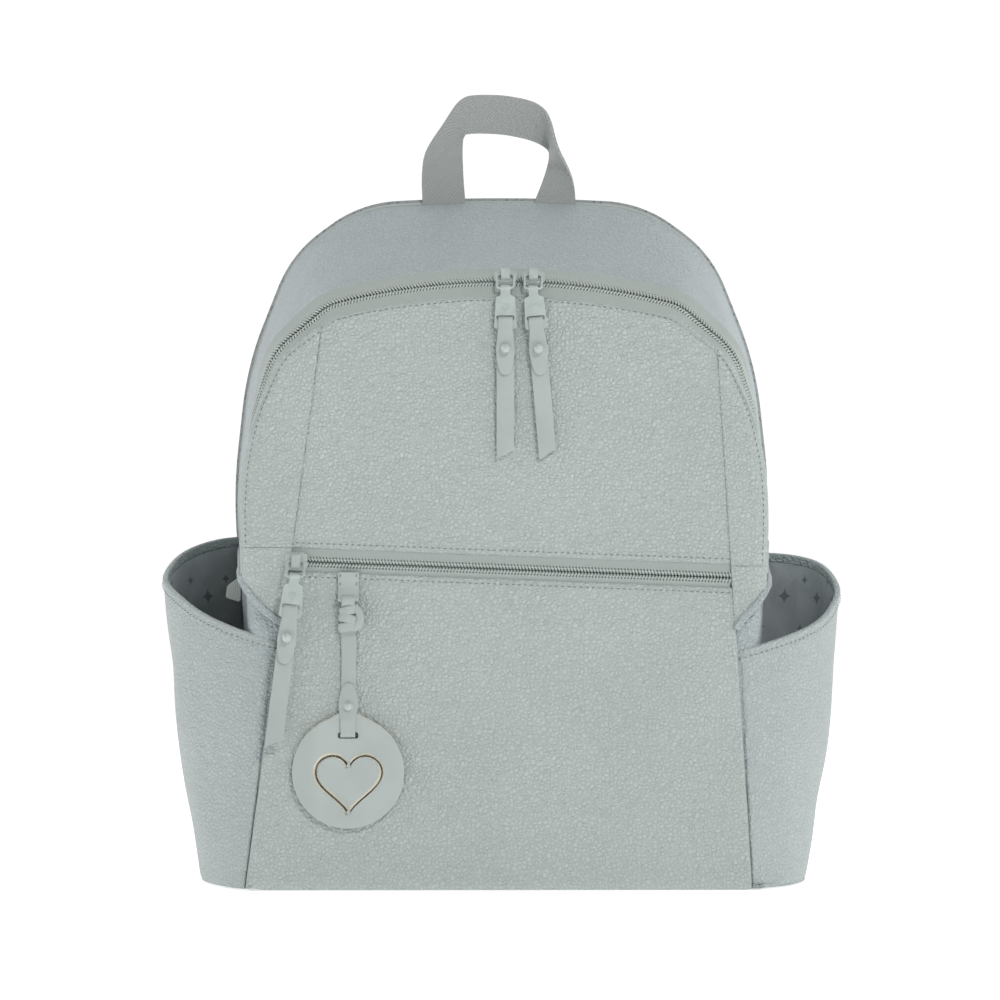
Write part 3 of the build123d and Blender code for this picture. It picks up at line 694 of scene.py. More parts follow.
RECIPES = {
    "shell_leather": lambda n, c: leather(n, c.shell),
    "gusset_leather": lambda n, c: leather(n, c.gusset, 1.1, rough=0.42, sheen=0.25),
    "pocket_leather": lambda n, c: leather(n, c.pockets, rough=0.5),
    "trim_leather": lambda n, c: smooth_leather(n, c.trim),
    "strap_leather": lambda n, c: smooth_leather(n, c.straps),
    "tag_face": lambda n, c: smooth_leather(n, c.tag),
    "cut_edge": lambda n, c: smooth_leather(n, c.cut_edge, 0.7),
    "zip_tape": lambda n, c: woven(n, c.tape, 0.0011, diagonal=False),
    "coil": lambda n, c: moulded(n, c.coil, 0.36),
    "webbing": lambda n, c: woven(n, c.webbing, 0.0016, 1.3),
    "strap_webbing": lambda n, c: woven(n, c.webbing, 0.0014, 1.1),
    "thread": lambda n, c: woven(n, c.thread, 0.0004, 0.4),
    "metal": lambda n, c: metal_paint(n, c.metal),
    "pearl": lambda n, c: pearl(n, c.pearl),
    "moulded": lambda n, c: moulded(n, c.moulded),
    "satin": lambda n, c: satin(n, c.lining, c.sparkle),
    "mesh": lambda n, c: air_mesh(n, c.back_mesh),
    "ground": lambda n, c: ground(n, c.floor),
}


# ---- geometry nodes -----------------------------------------------------
def repeat_tree(name, finish, length, width, height, spacing, squared=False):
    """Small rounded pieces set along edge lines; each line carries its outward direction."""
    tree = bpy.data.node_groups.new(name, "GeometryNodeTree")
    face = tree.interface
    face.new_socket("Line", in_out="INPUT", socket_type="NodeSocketGeometry")
    sizes = {}
    for label, value in (("Length", length), ("Width", width), ("Height", height), ("Spacing", spacing)):
        item = face.new_socket(label, in_out="INPUT", socket_type="NodeSocketFloat")
        item.default_value = value
        sizes[label] = item.identifier
    face.new_socket("Pieces", in_out="OUTPUT", socket_type="NodeSocketGeometry")
    add, link = tree.nodes.new, tree.links.new
    source, out = add("NodeGroupInput"), add("NodeGroupOutput")
    curve, even_out = add("GeometryNodeMeshToCurve"), add("GeometryNodeResampleCurve")
    even_out.mode = "LENGTH"
    link(source.outputs["Line"], curve.inputs[0])
    link(curve.outputs[0], even_out.inputs["Curve"])
    link(source.outputs["Spacing"], even_out.inputs["Length"])
    if squared:
        bead = add("GeometryNodeMeshCube")
        bead.inputs["Size"].default_value = (2, 2, 2)
        for axis in "XYZ":
            bead.inputs[f"Vertices {axis}"].default_value = 2
        soft = add("GeometryNodeSubdivisionSurface")
        soft.inputs["Level"].default_value = 1
        link(bead.outputs[0], soft.inputs[0])
        bead = soft
    else:
        bead = add("GeometryNodeMeshUVSphere")
        bead.inputs["Segments"].default_value = 7
        bead.inputs["Rings"].default_value = 5
    size = add("ShaderNodeCombineXYZ")
    for axis, label in zip("XYZ", ("Length", "Width", "Height")):
        link(source.outputs[label], size.inputs[axis])
    scale = add("GeometryNodeTransform")
    link(bead.outputs[0], scale.inputs["Geometry"])
    link(size.outputs[0], scale.inputs["Scale"])
    tangent = add("GeometryNodeInputTangent")
    first, second = add("FunctionNodeAlignRotationToVector"), add("FunctionNodeAlignRotationToVector")
    first.axis, second.axis, second.pivot_axis = "X", "Z", "X"
    facing = add("GeometryNodeInputNamedAttribute")
    facing.data_type = "FLOAT_VECTOR"
    facing.inputs["Name"].default_value = "facing"
    link(tangent.outputs[0], first.inputs["Vector"])
    link(first.outputs[0], second.inputs["Rotation"])
    link(facing.outputs[0], second.inputs["Vector"])
    slant = add("GeometryNodeInputNamedAttribute")
    turn, lean = add("ShaderNodeCombineXYZ"), add("FunctionNodeRotateRotation")
    slant.data_type, lean.rotation_space = "FLOAT", "LOCAL"
    slant.inputs["Name"].default_value = "slant"
    link(slant.outputs[0], turn.inputs["Z"])
    link(second.outputs[0], lean.inputs[0])
    link(turn.outputs[0], lean.inputs[1])
    place = add("GeometryNodeInstanceOnPoints")
    link(even_out.outputs[0], place.inputs["Points"])
    link(scale.outputs[0], place.inputs["Instance"])
    link(lean.outputs[0], place.inputs["Rotation"])
    whole, smooth, paint = (add("GeometryNodeRealizeInstances"), add("GeometryNodeSetShadeSmooth"),
                            add("GeometryNodeSetMaterial"))
    paint.inputs["Material"].default_value = finish_of(finish)
    link(place.outputs[0], whole.inputs[0])
    link(whole.outputs[0], smooth.inputs["Geometry"])
    link(smooth.outputs["Geometry"], paint.inputs["Geometry"])
    link(paint.outputs[0], out.inputs[0])
    return tree, sizes


def repeat_along(name, lines, body, finish, length, width, height, spacing, replaces=(),
                 squared=False):
    """Pieces repeated along lines given as (points, outward directions, slant)."""
    verts, edges, faces, slants = [], [], [], []
    for pts, out, slant in lines:
        start = len(verts)
        slants += [slant] * len(pts)
        verts += (pts * MM).tolist()
        faces += np.broadcast_to(out, pts.shape).tolist()
        edges += [(start + k, start + k + 1) for k in range(len(pts) - 1)]
    mesh = bpy.data.meshes.new(name)
    mesh.from_pydata(verts, edges, [])
    layer = mesh.attributes.new("facing", "FLOAT_VECTOR", "POINT")
    layer.data.foreach_set("vector", np.array(faces, np.float32).ravel())
    mesh.attributes.new("slant", "FLOAT", "POINT").data.foreach_set("value", slants)
    obj = bpy.data.objects.new(name, mesh)
    bpy.context.scene.collection.objects.link(obj)
    tree, sizes = repeat_tree(name + "_nodes", finish, length, width, height, spacing, squared)
    modifier = obj.modifiers.new("repeat", "NODES")
    modifier.node_group = tree
    for label, value in (("Length", length), ("Width", width), ("Height", height), ("Spacing", spacing)):
        modifier[sizes[label]] = value * MM
    bpy.context.view_layer.update()
    made = bpy.data.meshes.new_from_object(obj.evaluated_get(bpy.context.evaluated_depsgraph_get()))
    obj.modifiers.remove(modifier)
    obj.data = made
    made.name = name
    return settle(obj, body, replaces)


STITCHES = {}


def stitch(body, pts, out):
    """Adds a sewn line to a body's thread."""
    if len(pts) > 2:
        STITCHES.setdefault(body, []).append((pts, np.broadcast_to(out, pts.shape), 0.0))


# ---- front and shell ----------------------------------------------------
MADE = {}


def panel(corners, body, name, replaces, shape=None, thick=None, rolls=((1.6, 0.9),) * 4, pillow=1.0, waves=0.5,
          mat="shell_leather", seed=0.0, step=3.0):
    """A leather panel over the front; corners(u, s) gives across and up for u and s from 0 to 1.
    rolls holds (radius, drop) of the left, right, low and high edge."""
    thick = bpy.context.scene.bag_sizes.leather / MM if thick is None else thick
    probe = [corners(np.array([a]), np.array([b])) for a, b in ((0, .5), (1, .5), (.5, 0), (.5, 1))]
    wide = abs(probe[1][0][0] - probe[0][0][0])
    tall = abs(probe[3][1][0] - probe[2][1][0])
    us, ss = spaced(max(wide, 14), step), spaced(tall, step)
    U, S = np.meshgrid(us, ss, indexing="ij")
    x, v = corners(U, S)
    far = (x - x[:1], x[-1:] - x, v - v[:, :1], v[:, -1:] - v)
    n = 0 * x
    for d, (radius, drop) in zip(far, rolls):
        radius, drop = (r(v) if callable(r) else r for r in (radius, drop))
        n = n - edge_roll(np.maximum(d, 0), radius, drop)
    d = np.maximum(np.minimum.reduce(far), 0)
    n = n - pillow * np.exp(-d / 11) + waves * (ripple(x, v, 42, seed) - 1) * np.clip(d / 14, 0, 1)
    if shape is not None:
        n = n + shape(x, v)
    pile = Pile()
    pile.shell(front(x, v, n), thick)
    MADE[name] = pile.build(name, mat, body, replaces)
    return MADE[name]


def flap_corners(u, s):
    lo, hi = seam_x(-1, fold_v(-130)), seam_x(1, fold_v(130))
    tl, tr = seam_x(-1, seam_tip(-1)), seam_x(1, seam_tip(1))
    xb, xt = lo + (hi - lo) * u, tl + (tr - tl) * u
    vb, vt = fold_v(xb) + 0.4, edge_v(xt)
    return xb + (xt - xb) * s, vb + (vt - vb) * s


def pocket_corners(u, s):
    lo, hi = seam_x(-1, fold_v(-130, LOWER_W)), seam_x(1, fold_v(130, LOWER_W))
    fl, fr = seam_x(-1, 0.5), seam_x(1, 0.5)
    xt, xb = lo + (hi - lo) * u, fl + (fr - fl) * u
    vt, vb = fold_v(xt, LOWER_W), 0.5 + 0.9 * np.clip((abs(xb) - 138) / 12, 0, 1) ** 2
    return xb + (xt - xb) * s, vb + (vt - vb) * s


def wedge_corners(side, low, high):
    """Between the seam and the zip's edge, from one height line up to another."""
    def corners(u, s):
        v0, v1 = low(side), high(side)
        v = v0 + (v1 - v0) * s
        inner, outer = side * seam_x(side, v) - 0.6, edge_x(v)
        outer = np.maximum(outer, inner + 0.3)
        share = u if side > 0 else 1 - u
        return side * (inner + (outer - inner) * share), v
    return corners


def shell_parts():
    """Front panels, wedges, gusset, sides, base and back edge."""
    crease = lambda x, v: (-0.5 * np.exp(-((v - 30 - 0.1 * x) / 9) ** 2) * np.exp(-((x + 60) / 70) ** 2)
                           - 0.5 * np.exp(-((v - 168 + 0.05 * x) / 6) ** 2) * (1 + np.sin(x / 9)) * 0.6
                           * np.exp(-((x + 92) / 30) ** 2))
    seam = (1.9, 1.3)
    panel(flap_corners, "flap", "flap_leather", ["flap_panel"], rolls=(seam, seam, (2.4, 2.2), (2.0, 2.0)), seed=1.0)
    panel(pocket_corners, "bag", "pocket_front_leather", ["front_pocket_panel"], shape=crease,
          rolls=(seam, seam, (5.0, 3.0), (1.8, 1.8)), seed=3.0)
    turned = (lambda v: level(v, (250, 12), (335, 2.0)), lambda v: level(v, (250, 6.5), (335, 2.0)))
    tucked, cut = (1.0, 0.6), (0.3, 0.1)
    for side, word in LR:
        edges = (tucked, turned) if side > 0 else (turned, tucked)
        panel(wedge_corners(side, lambda s: fold_v(s * 145) + 0.12, lambda s: seam_tip(s) - 1.0), "flap",
              f"upper_wedge_{word}", [f"flap_wedge_{word}"], rolls=edges + (cut, (0.5, 0.5)), pillow=0.3, waves=0.3,
              seed=side * 2.0, step=2.0)

        def low_wedge(u, s, side=side):
            inner, outer = side * seam_x(side, 175) - 0.6, 156.0
            share = u if side > 0 else 1 - u
            x = inner + (outer - inner) * share
            v0 = level(x, (133.5, 157.6), (147.6, 170.6), (156, 183.5)) - (4 if side > 0 else 0)
            v1 = fold_v(side * 145) - 0.12
            v = v0 + (v1 - v0) * s
            near, away = side * seam_x(side, v) - 0.6, edge_x(v)
            return side * (near + (x - inner) * (away - near) / (outer - inner)), v
        panel(low_wedge, "bag", f"lower_wedge_{word}", [f"front_wedge_lower_{word}"],
              rolls=edges + ((1.5, 1.2), cut), pillow=0.3, waves=0.2, seed=side * 2.0, step=2.0)

    # gusset: one padded run over the bag from the zip to the back seam
    fore = arch(ZIP_HALF, ZIP_BENDS, low=3.6, count=300)
    rear = arch(BACK_HALF, BACK_BENDS, low=3.6, count=300)
    start = gusset_start(fore)
    end = np.stack([rear[0][:, 0], 0 * rear[0][:, 0] + 79.6, rear[0][:, 1]], axis=1)
    out = np.stack([fore[1][:, 0], 0 * fore[1][:, 0], fore[1][:, 1]], axis=1)
    shares = spaced(130, 5.0)
    along = np.linspace(0, 1, len(start))
    A, B = np.meshgrid(along, shares, indexing="ij")
    pts = start[:, None] * (1 - B[..., None]) + end[:, None] * B[..., None]
    d = np.minimum(B, 1 - B) * 130
    top = np.clip((pts[..., 2] - 230) / 120, 0, 1)
    lift = (-edge_roll(d, 2.2, 2.0) - 0.7 * np.exp(-d / 7)
            + 0.8 * ripple(A * 900, B * 130, 38, 0.5) * np.clip(d / 14, 0, 1)
            + (1.2 - 2.6 * top) * np.sin(B * math.pi) + 0.4 * np.sin(A * 42) * np.exp(-d / 12))
    pts = pts + out[:, None] * lift[..., None]
    pile = Pile()
    pile.shell(pts[::-1], 2.4)
    MADE["gusset"] = pile.build("gusset", "gusset_leather", "bag",
                                ["top_gusset", "side_panel_left", "side_panel_right"])

    # lower side return, tucked behind the wedges
    for side, word in LR:
        v = np.linspace(3.6, 203, 60)
        near = side * seam_x(side, v) - 1.5
        rows = [front(side * near, v, -3.4 + 0 * v)]
        for m, n in ((-13, -3.9), (-8, -5.2), (-5, -7.6), (-3.2, -11), (-2.5, -14.5), (-2.2, -18.4)):
            x = np.maximum(zip_x(v, m), near + 0.5 + (m + 12) * 0.2)
            rows.append(front(side * x, v, n + 0.4 * ripple(v, m, 16, side)))
        pts = np.stack(rows if side > 0 else rows[::-1], axis=0)
        pile = Pile()
        pile.shell(pts, 1.6)
        pile.build(f"side_return_{word}", "gusset_leather", "bag", ())

        # bound seam running from the front seam round the side
        x0 = side * seam_x(side, 158)
        drop = 4 if side > 0 else 0
        spots = [(x0 + 0.2, 157.6 - drop, 0.5), (140.5, 163.6 - drop, 0.5), (147.6, 170.6 - drop, 0.2),
                 (153, 178 - drop, -2.2), (156.2, 184 - drop, -7.2), (157.2, 189.5 - drop, -15)]
        line = [front(side * x, v, n) for x, v, n in spots]
        line += [np.array([side * (159.6 + 0.045 * y), y, 194 - drop + 0.05 * y]) for y in (-52, -30, 0, 30, 60, 79)]
        line = even(rounded(line, 8), step=2.0)
        way = run_of(line)
        sideways = side * np.clip((-70 - line[:, 1]) / -18, 0.25, 1)
        forwards = -np.clip((-66 - line[:, 1]) / 16, 0, 1)
        out_way = unit(np.stack([sideways, forwards, 0 * line[:, 0] + 0.25], axis=1))
        across = unit(np.cross(way, out_way))
        pile = Pile()
        pile.band(line, across, np.cross(across, way), slat(4.0, 1.6, 0.75))
        pile.build(f"side_binding_{word}", "gusset_leather", "bag", ())

    # base and back seam piping
    pile = Pile()
    outline = rounded([(-147, -85.6), (147, -85.6), (147, 82.6), (-147, 82.6)], 9, closed=True)
    pile.plate([outline], 0, 4.6, np.zeros(3), AX, np.array([0, 1.0, 0]), 1.2)
    pile.build("base_leather", "shell_leather", "bag", ["base_panel"])
    pile = Pile()
    line = np.stack([rear[0][:, 0], 0 * rear[0][:, 0] + 79.8, rear[0][:, 1]], axis=1)
    way = run_of(line)
    out = np.stack([rear[1][:, 0], 0 * rear[1][:, 0], rear[1][:, 1]], axis=1)
    pile.band(line - out * 1.3 + np.array([0, 1.2, 0]), out, np.cross(way, out), ring(1.5, 1.5, 10))
    pile.build("back_piping", "trim_leather", "bag", ())

    # sewn lines
    edge = EDGE - ZIP_ARCH[1] * 3.2
    keep = edge[:, 1] > fold_v(edge[:, 0]) + 3
    pts = front(edge[keep, 0], edge[keep, 1], 2)
    wedges = [MADE[n] for n in ("flap_leather", "upper_wedge_left", "upper_wedge_right")]
    stitch("flap", drape(even(pts, step=1.5), -AN, wedges, 0.12), AN)
    for w, body, target in ((FOLD_W + 3.6, "flap", "flap_leather"), (LOWER_W - 3.4, "bag", "pocket_front_leather")):
        x = np.linspace(seam_x(-1, 190) + 2, seam_x(1, 190) - 2, 180)
        pts = drape(front(x, fold_v(x, w), 2.0), -AN, [MADE[target]], 0.12)
        stitch(body, pts, AN)
    edge = arch(ZIP_HALF, ZIP_BENDS, low=206, count=420)
    out = np.stack([edge[1][:, 0], 0 * edge[1][:, 0], edge[1][:, 1]], axis=1)
    pts = gusset_start(edge) - AN * 3.4 + out * 6
    stitch("bag", drape(pts, -out, [MADE["gusset"]], 0.12), out)


def zips():
    """Tapes, coils and end tabs of both zips."""
    line = arch(ZIP_HALF, ZIP_BENDS, low=199, count=520)
    height = line[0][:, 1]
    base, out, rear = zip_frame(line)
    reach = level(height, (250, 0.0), (340, 1.0))
    for sign, word, body in ((-1, "front", "flap"), (1, "rear", "bag")):
        keep = slice(None) if word == "rear" else slice(8, -8)
        b, r, o = base[keep], rear[keep], out[keep]
        far = 7.0 + 5.6 * reach[keep]
        low = [(3.6, -0.45), (1.0, -0.45), (1.0, 0.4), (0.7, 0.45), (4.6, 0.5), (4.2, 0.7), (3.6, 0.7)]
        profiles = np.array([[((w * f if w <= 1 else w) * sign, h) for w, h in low] for f in far])
        pile = Pile()
        pile.band(b, r, o, profiles)
        pile.build(f"main_zip_{word}_tape", "zip_tape", body, [f"main_zip_tape_{word}"])
        pts = even(b + r * sign * 2.05 + o * 0.5, step=0.6)
        facing = even(o, count=len(pts))
        repeat_along(f"main_zip_{word}_teeth", [(pts, unit(facing), sign * 0.42)], body, "coil", 0.84, 2.8, 1.2,
                     bpy.context.scene.bag_sizes.tooth_pitch / MM, [f"main_zip_coil_{word}"], squared=True)
        pile = Pile()
        pile.band(b + r * sign * 2.05 + o * 1.22, r, o, ring(0.34, 0.22, 8))
        pile.build(f"main_zip_{word}_cord", "zip_tape", body, ())
    # front zip
    x = np.linspace(seam_x(-1, 190) + 1.0, seam_x(1, 190) - 1.0, 300)
    teeth = []
    pile = Pile()
    slope = unit(AX + AV * FOLD_SLOPE)
    across = np.cross(AN, slope)
    for sign in (-1, 1):
        mid = front(x, fold_v(x, 0), -2.9)
        profile = np.array([(3.0, -0.45), (12.0, -0.9), (12.0, -0.2), (4.0, 0.5), (3.6, 0.7), (3.0, 0.7)])
        profile[:, 0] *= sign
        pile.band(mid, np.broadcast_to(across, mid.shape), np.broadcast_to(AN, mid.shape), profile)
        row = mid + across * sign * 1.7 + AN * 0.45
        teeth.append((row[(2 if sign > 0 else 1):], AN, sign * 0.42))
    pile.build("front_zip_tape", "zip_tape", "bag", ["front_zip_tapes"])
    repeat_along("front_zip_teeth", teeth, "bag", "coil", 0.84, 2.3, 1.2, bpy.context.scene.bag_sizes.tooth_pitch / MM,
                 ["front_zip_coils"], squared=True)
    pile = Pile()
    for sign in (-1, 1):
        row = front(x, fold_v(x, 0), -2.9) + across * sign * 1.7 + AN * 1.18
        pile.band(row, np.broadcast_to(across, row.shape), np.broadcast_to(AN, row.shape), ring(0.32, 0.25, 8))
    pile.build("front_zip_cords", "zip_tape", "bag", ())
    # stitched tabs over the lower ends of the main zip
    pile = Pile()
    for side in (-1, 1):
        k = int(np.argmin(abs(ZIP_ARCH[0][:HALFWAY, 1] - 196))) if side > 0 else \
            len(ZIP_ARCH[0]) - 1 - int(np.argmin(abs(ZIP_ARCH[0][:HALFWAY, 1] - 196)))
        p, nrm = ZIP_ARCH[0][k], ZIP_ARCH[1][k]
        w = nrm[0] * AX + nrm[1] * AV
        turn = float(zip_turn(196.0))
        o = unit(w * math.cos(turn) + AN * math.sin(turn))
        along = unit(np.cross(o, w * math.sin(turn) - AN * math.cos(turn))) * -1
        p = p - nrm * 2.2
        shape = rounded([(-10, -7), (10, -7), (10, 7), (-10, 7)], 2, step=0.6, closed=True)
        pile.plate([shape], 0.9, 2.6, front(p[0], p[1], -12.0), along, np.cross(o, along), 0.5)
    # folded tail of tape standing off the left side
    pile.build("zip_tabs", "trim_leather", "bag", ["zip_end_tabs"])
    tail = rounded([(-157, 184), (-165, 178), (-166, 171), (-157, 168)], 1.5, step=0.6, closed=True)
    pile = Pile()
    pile.plate([tail[::-1]], -0.8, 0.8, np.array([0, -40.0, 0]), AX, np.array([0, 0, 1.0]), 0.3)
    pile.build("zip_tail", "zip_tape", "bag", ())


# ---- pockets ------------------------------------------------------------
POCKET_FOOT = [(150.2, -88), (182, -13), (150.8, 79.6)]
POCKET_TOP = [(131.6, -77), (208, -4), (163.6, 79.6)]
RIM_HEIGHT = {-1: 176.0, 1: 168.0}


def pocket_wall(side, shares, heights):
    """Bowed pocket wall; shares run from the front seam to the back, heights from 0 at the foot to 1 at the rim."""
    def arc(z):
        t = z / 210
        a, b, c = [np.array(p) * (1 - t) + np.array(q) * t for p, q in zip(POCKET_FOOT, POCKET_TOP)]
        m = np.array([[b[0] - a[0], b[1] - a[1]], [c[0] - a[0], c[1] - a[1]]])
        centre = np.linalg.solve(m, 0.5 * np.array([b @ b - a @ a, c @ c - a @ a]))
        r = np.linalg.norm(a - centre)
        ta, tc = [math.atan2(*(p - centre)[::-1]) for p in (a, c)]
        return centre, r, ta, tc
    pts = np.zeros((len(shares), len(heights), 3))
    for i, u in enumerate(shares):
        for j, h in enumerate(heights):
            z = 0.8 + h * 170
            for _ in range(4):
                centre, r, ta, tc = arc(z)
                t = ta + (tc - ta) * u
                x, y = centre[0] + r * math.cos(t), centre[1] + r * math.sin(t)
                rim = RIM_HEIGHT[side] + 0.3375 * y + 0.1166 * (x - 150) - 0.8 + 1.2 * math.sin(u * 9 + side)
                z = 0.8 + h * (rim - 0.8)
            swell = (1.5 * ripple(u * 210, z, 48, 3 + side) * math.sin(math.pi * u) * min(1, h * 4)
                     + 2.6 * math.sin(math.pi * u) * math.sin(math.pi * h) - 1.2 * (1 - min(1, z / 5)) ** 2)
            x, y = x + swell * math.cos(t), y + swell * math.sin(t)
            pts[i, j] = (side * x, y, z)
    z = pts[0, :, 2]
    goal = front(seam_x(side, z) + side * 0.4, z, -1.9)
    goal[:, 2] = z
    fade = np.clip(1 - np.asarray(shares) / 0.22, 0, 1)
    fade = (fade * fade * (3 - 2 * fade))[:, None, None]
    pts = pts + (goal - pts[0])[None] * fade
    # the sewn edge turns down into the seam
    reach = np.asarray(shares)[:, None] * 210
    pts = pts - AN * (edge_roll(reach, 3.6, 3.4) + 1.1 * np.exp(-reach / 5))[..., None]
    return pts


def side_pockets():
    """Open side pockets with linings, bound rims, floors and sewn edges."""
    for side, word in LR:
        shares = np.concatenate([[0, 0.004, 0.01], np.linspace(0.02, 0.98, 76), [0.99, 0.996, 1]])
        heights = spaced(170, 3.4)
        wall = pocket_wall(side, shares, heights)
        if side < 0:
            wall = wall[::-1]
        pile = Pile()
        pile.shell(wall, 1.9)
        MADE[f"pocket_{word}"] = pile.build(f"side_pocket_{word}_leather", "pocket_leather", "bag",
                                            [f"side_pocket_{word}"])
        lining = pocket_wall(side, np.linspace(0.03, 0.985, 60), np.linspace(0.02, 0.975, 44))
        lining = lining[::-1] if side > 0 else lining
        lift = 0.5 * ripple(lining[..., 1], lining[..., 2], 17, side + 5) + 3.0
        pile = Pile()
        pile.shell(lining + grid_normals(lining) * lift[..., None], 0.5)
        obj = pile.build(f"side_pocket_{word}_satin", "satin", "bag", [f"side_pocket_lining_{word}"])
        cloth(obj)
        # bound rim: a folded strip over the edge
        order = wall if side > 0 else wall[::-1]
        rim = order[:, -1]
        below = order[:, -8]
        down = unit(below - rim)
        way = run_of(rim)
        out = unit(np.cross(way, down)) * -side
        centre = rim - out * 1.1 + down * 2.2
        pile = Pile()
        pile.band(centre, out, down, rounded([(-1.9, -3.0), (1.9, -3.0), (1.6, 3.0), (-1.6, 3.0)], 1.4, step=0.5,
                                             closed=True))
        pile.build(f"side_pocket_{word}_rim", "pocket_leather", "bag", ())
        line = rim + down * 4.0 + out * 0.95
        stitch("bag", even(line, step=1.5), unit(out.mean(axis=0)))
        floor = [tuple(p[:2]) for p in order[::3, 2]] + [(side * 149.6, 79), (side * 149.6, -87)]
        if side < 0:
            floor = floor[::-1]
        pile = Pile()
        pile.plate([floor], 0.7, 3.0, np.zeros(3), AX, np.array([0, 1.0, 0]), 0.4)
        pile.build(f"side_pocket_{word}_floor", "pocket_leather", "bag", ())


# ---- pulls --------------------------------------------------------------
def joint_frame(name):
    j = JOINTS[name]
    return np.array(j["pos_m"]) * 1000, np.array(j["axis"], float)


def heart(scale, count=60, a=0.0, b=1.0):
    """A plain heart line between two shares of its way round, starting at the notch."""
    t = np.linspace(2 * math.pi * a, 2 * math.pi * b, count)
    return np.stack([16 * np.sin(t) ** 3, 13 * np.cos(t) - 5 * np.cos(2 * t) - 2 * np.cos(3 * t) - np.cos(4 * t)],
                    axis=1) * scale / 16


def outline_band(line, width):
    """A closed outline of even width along an open line."""
    d = run_of(line)
    nrm = np.stack([-d[:, 1], d[:, 0]], axis=1) * width / 2
    return np.concatenate([line + nrm, (line - nrm)[::-1]])


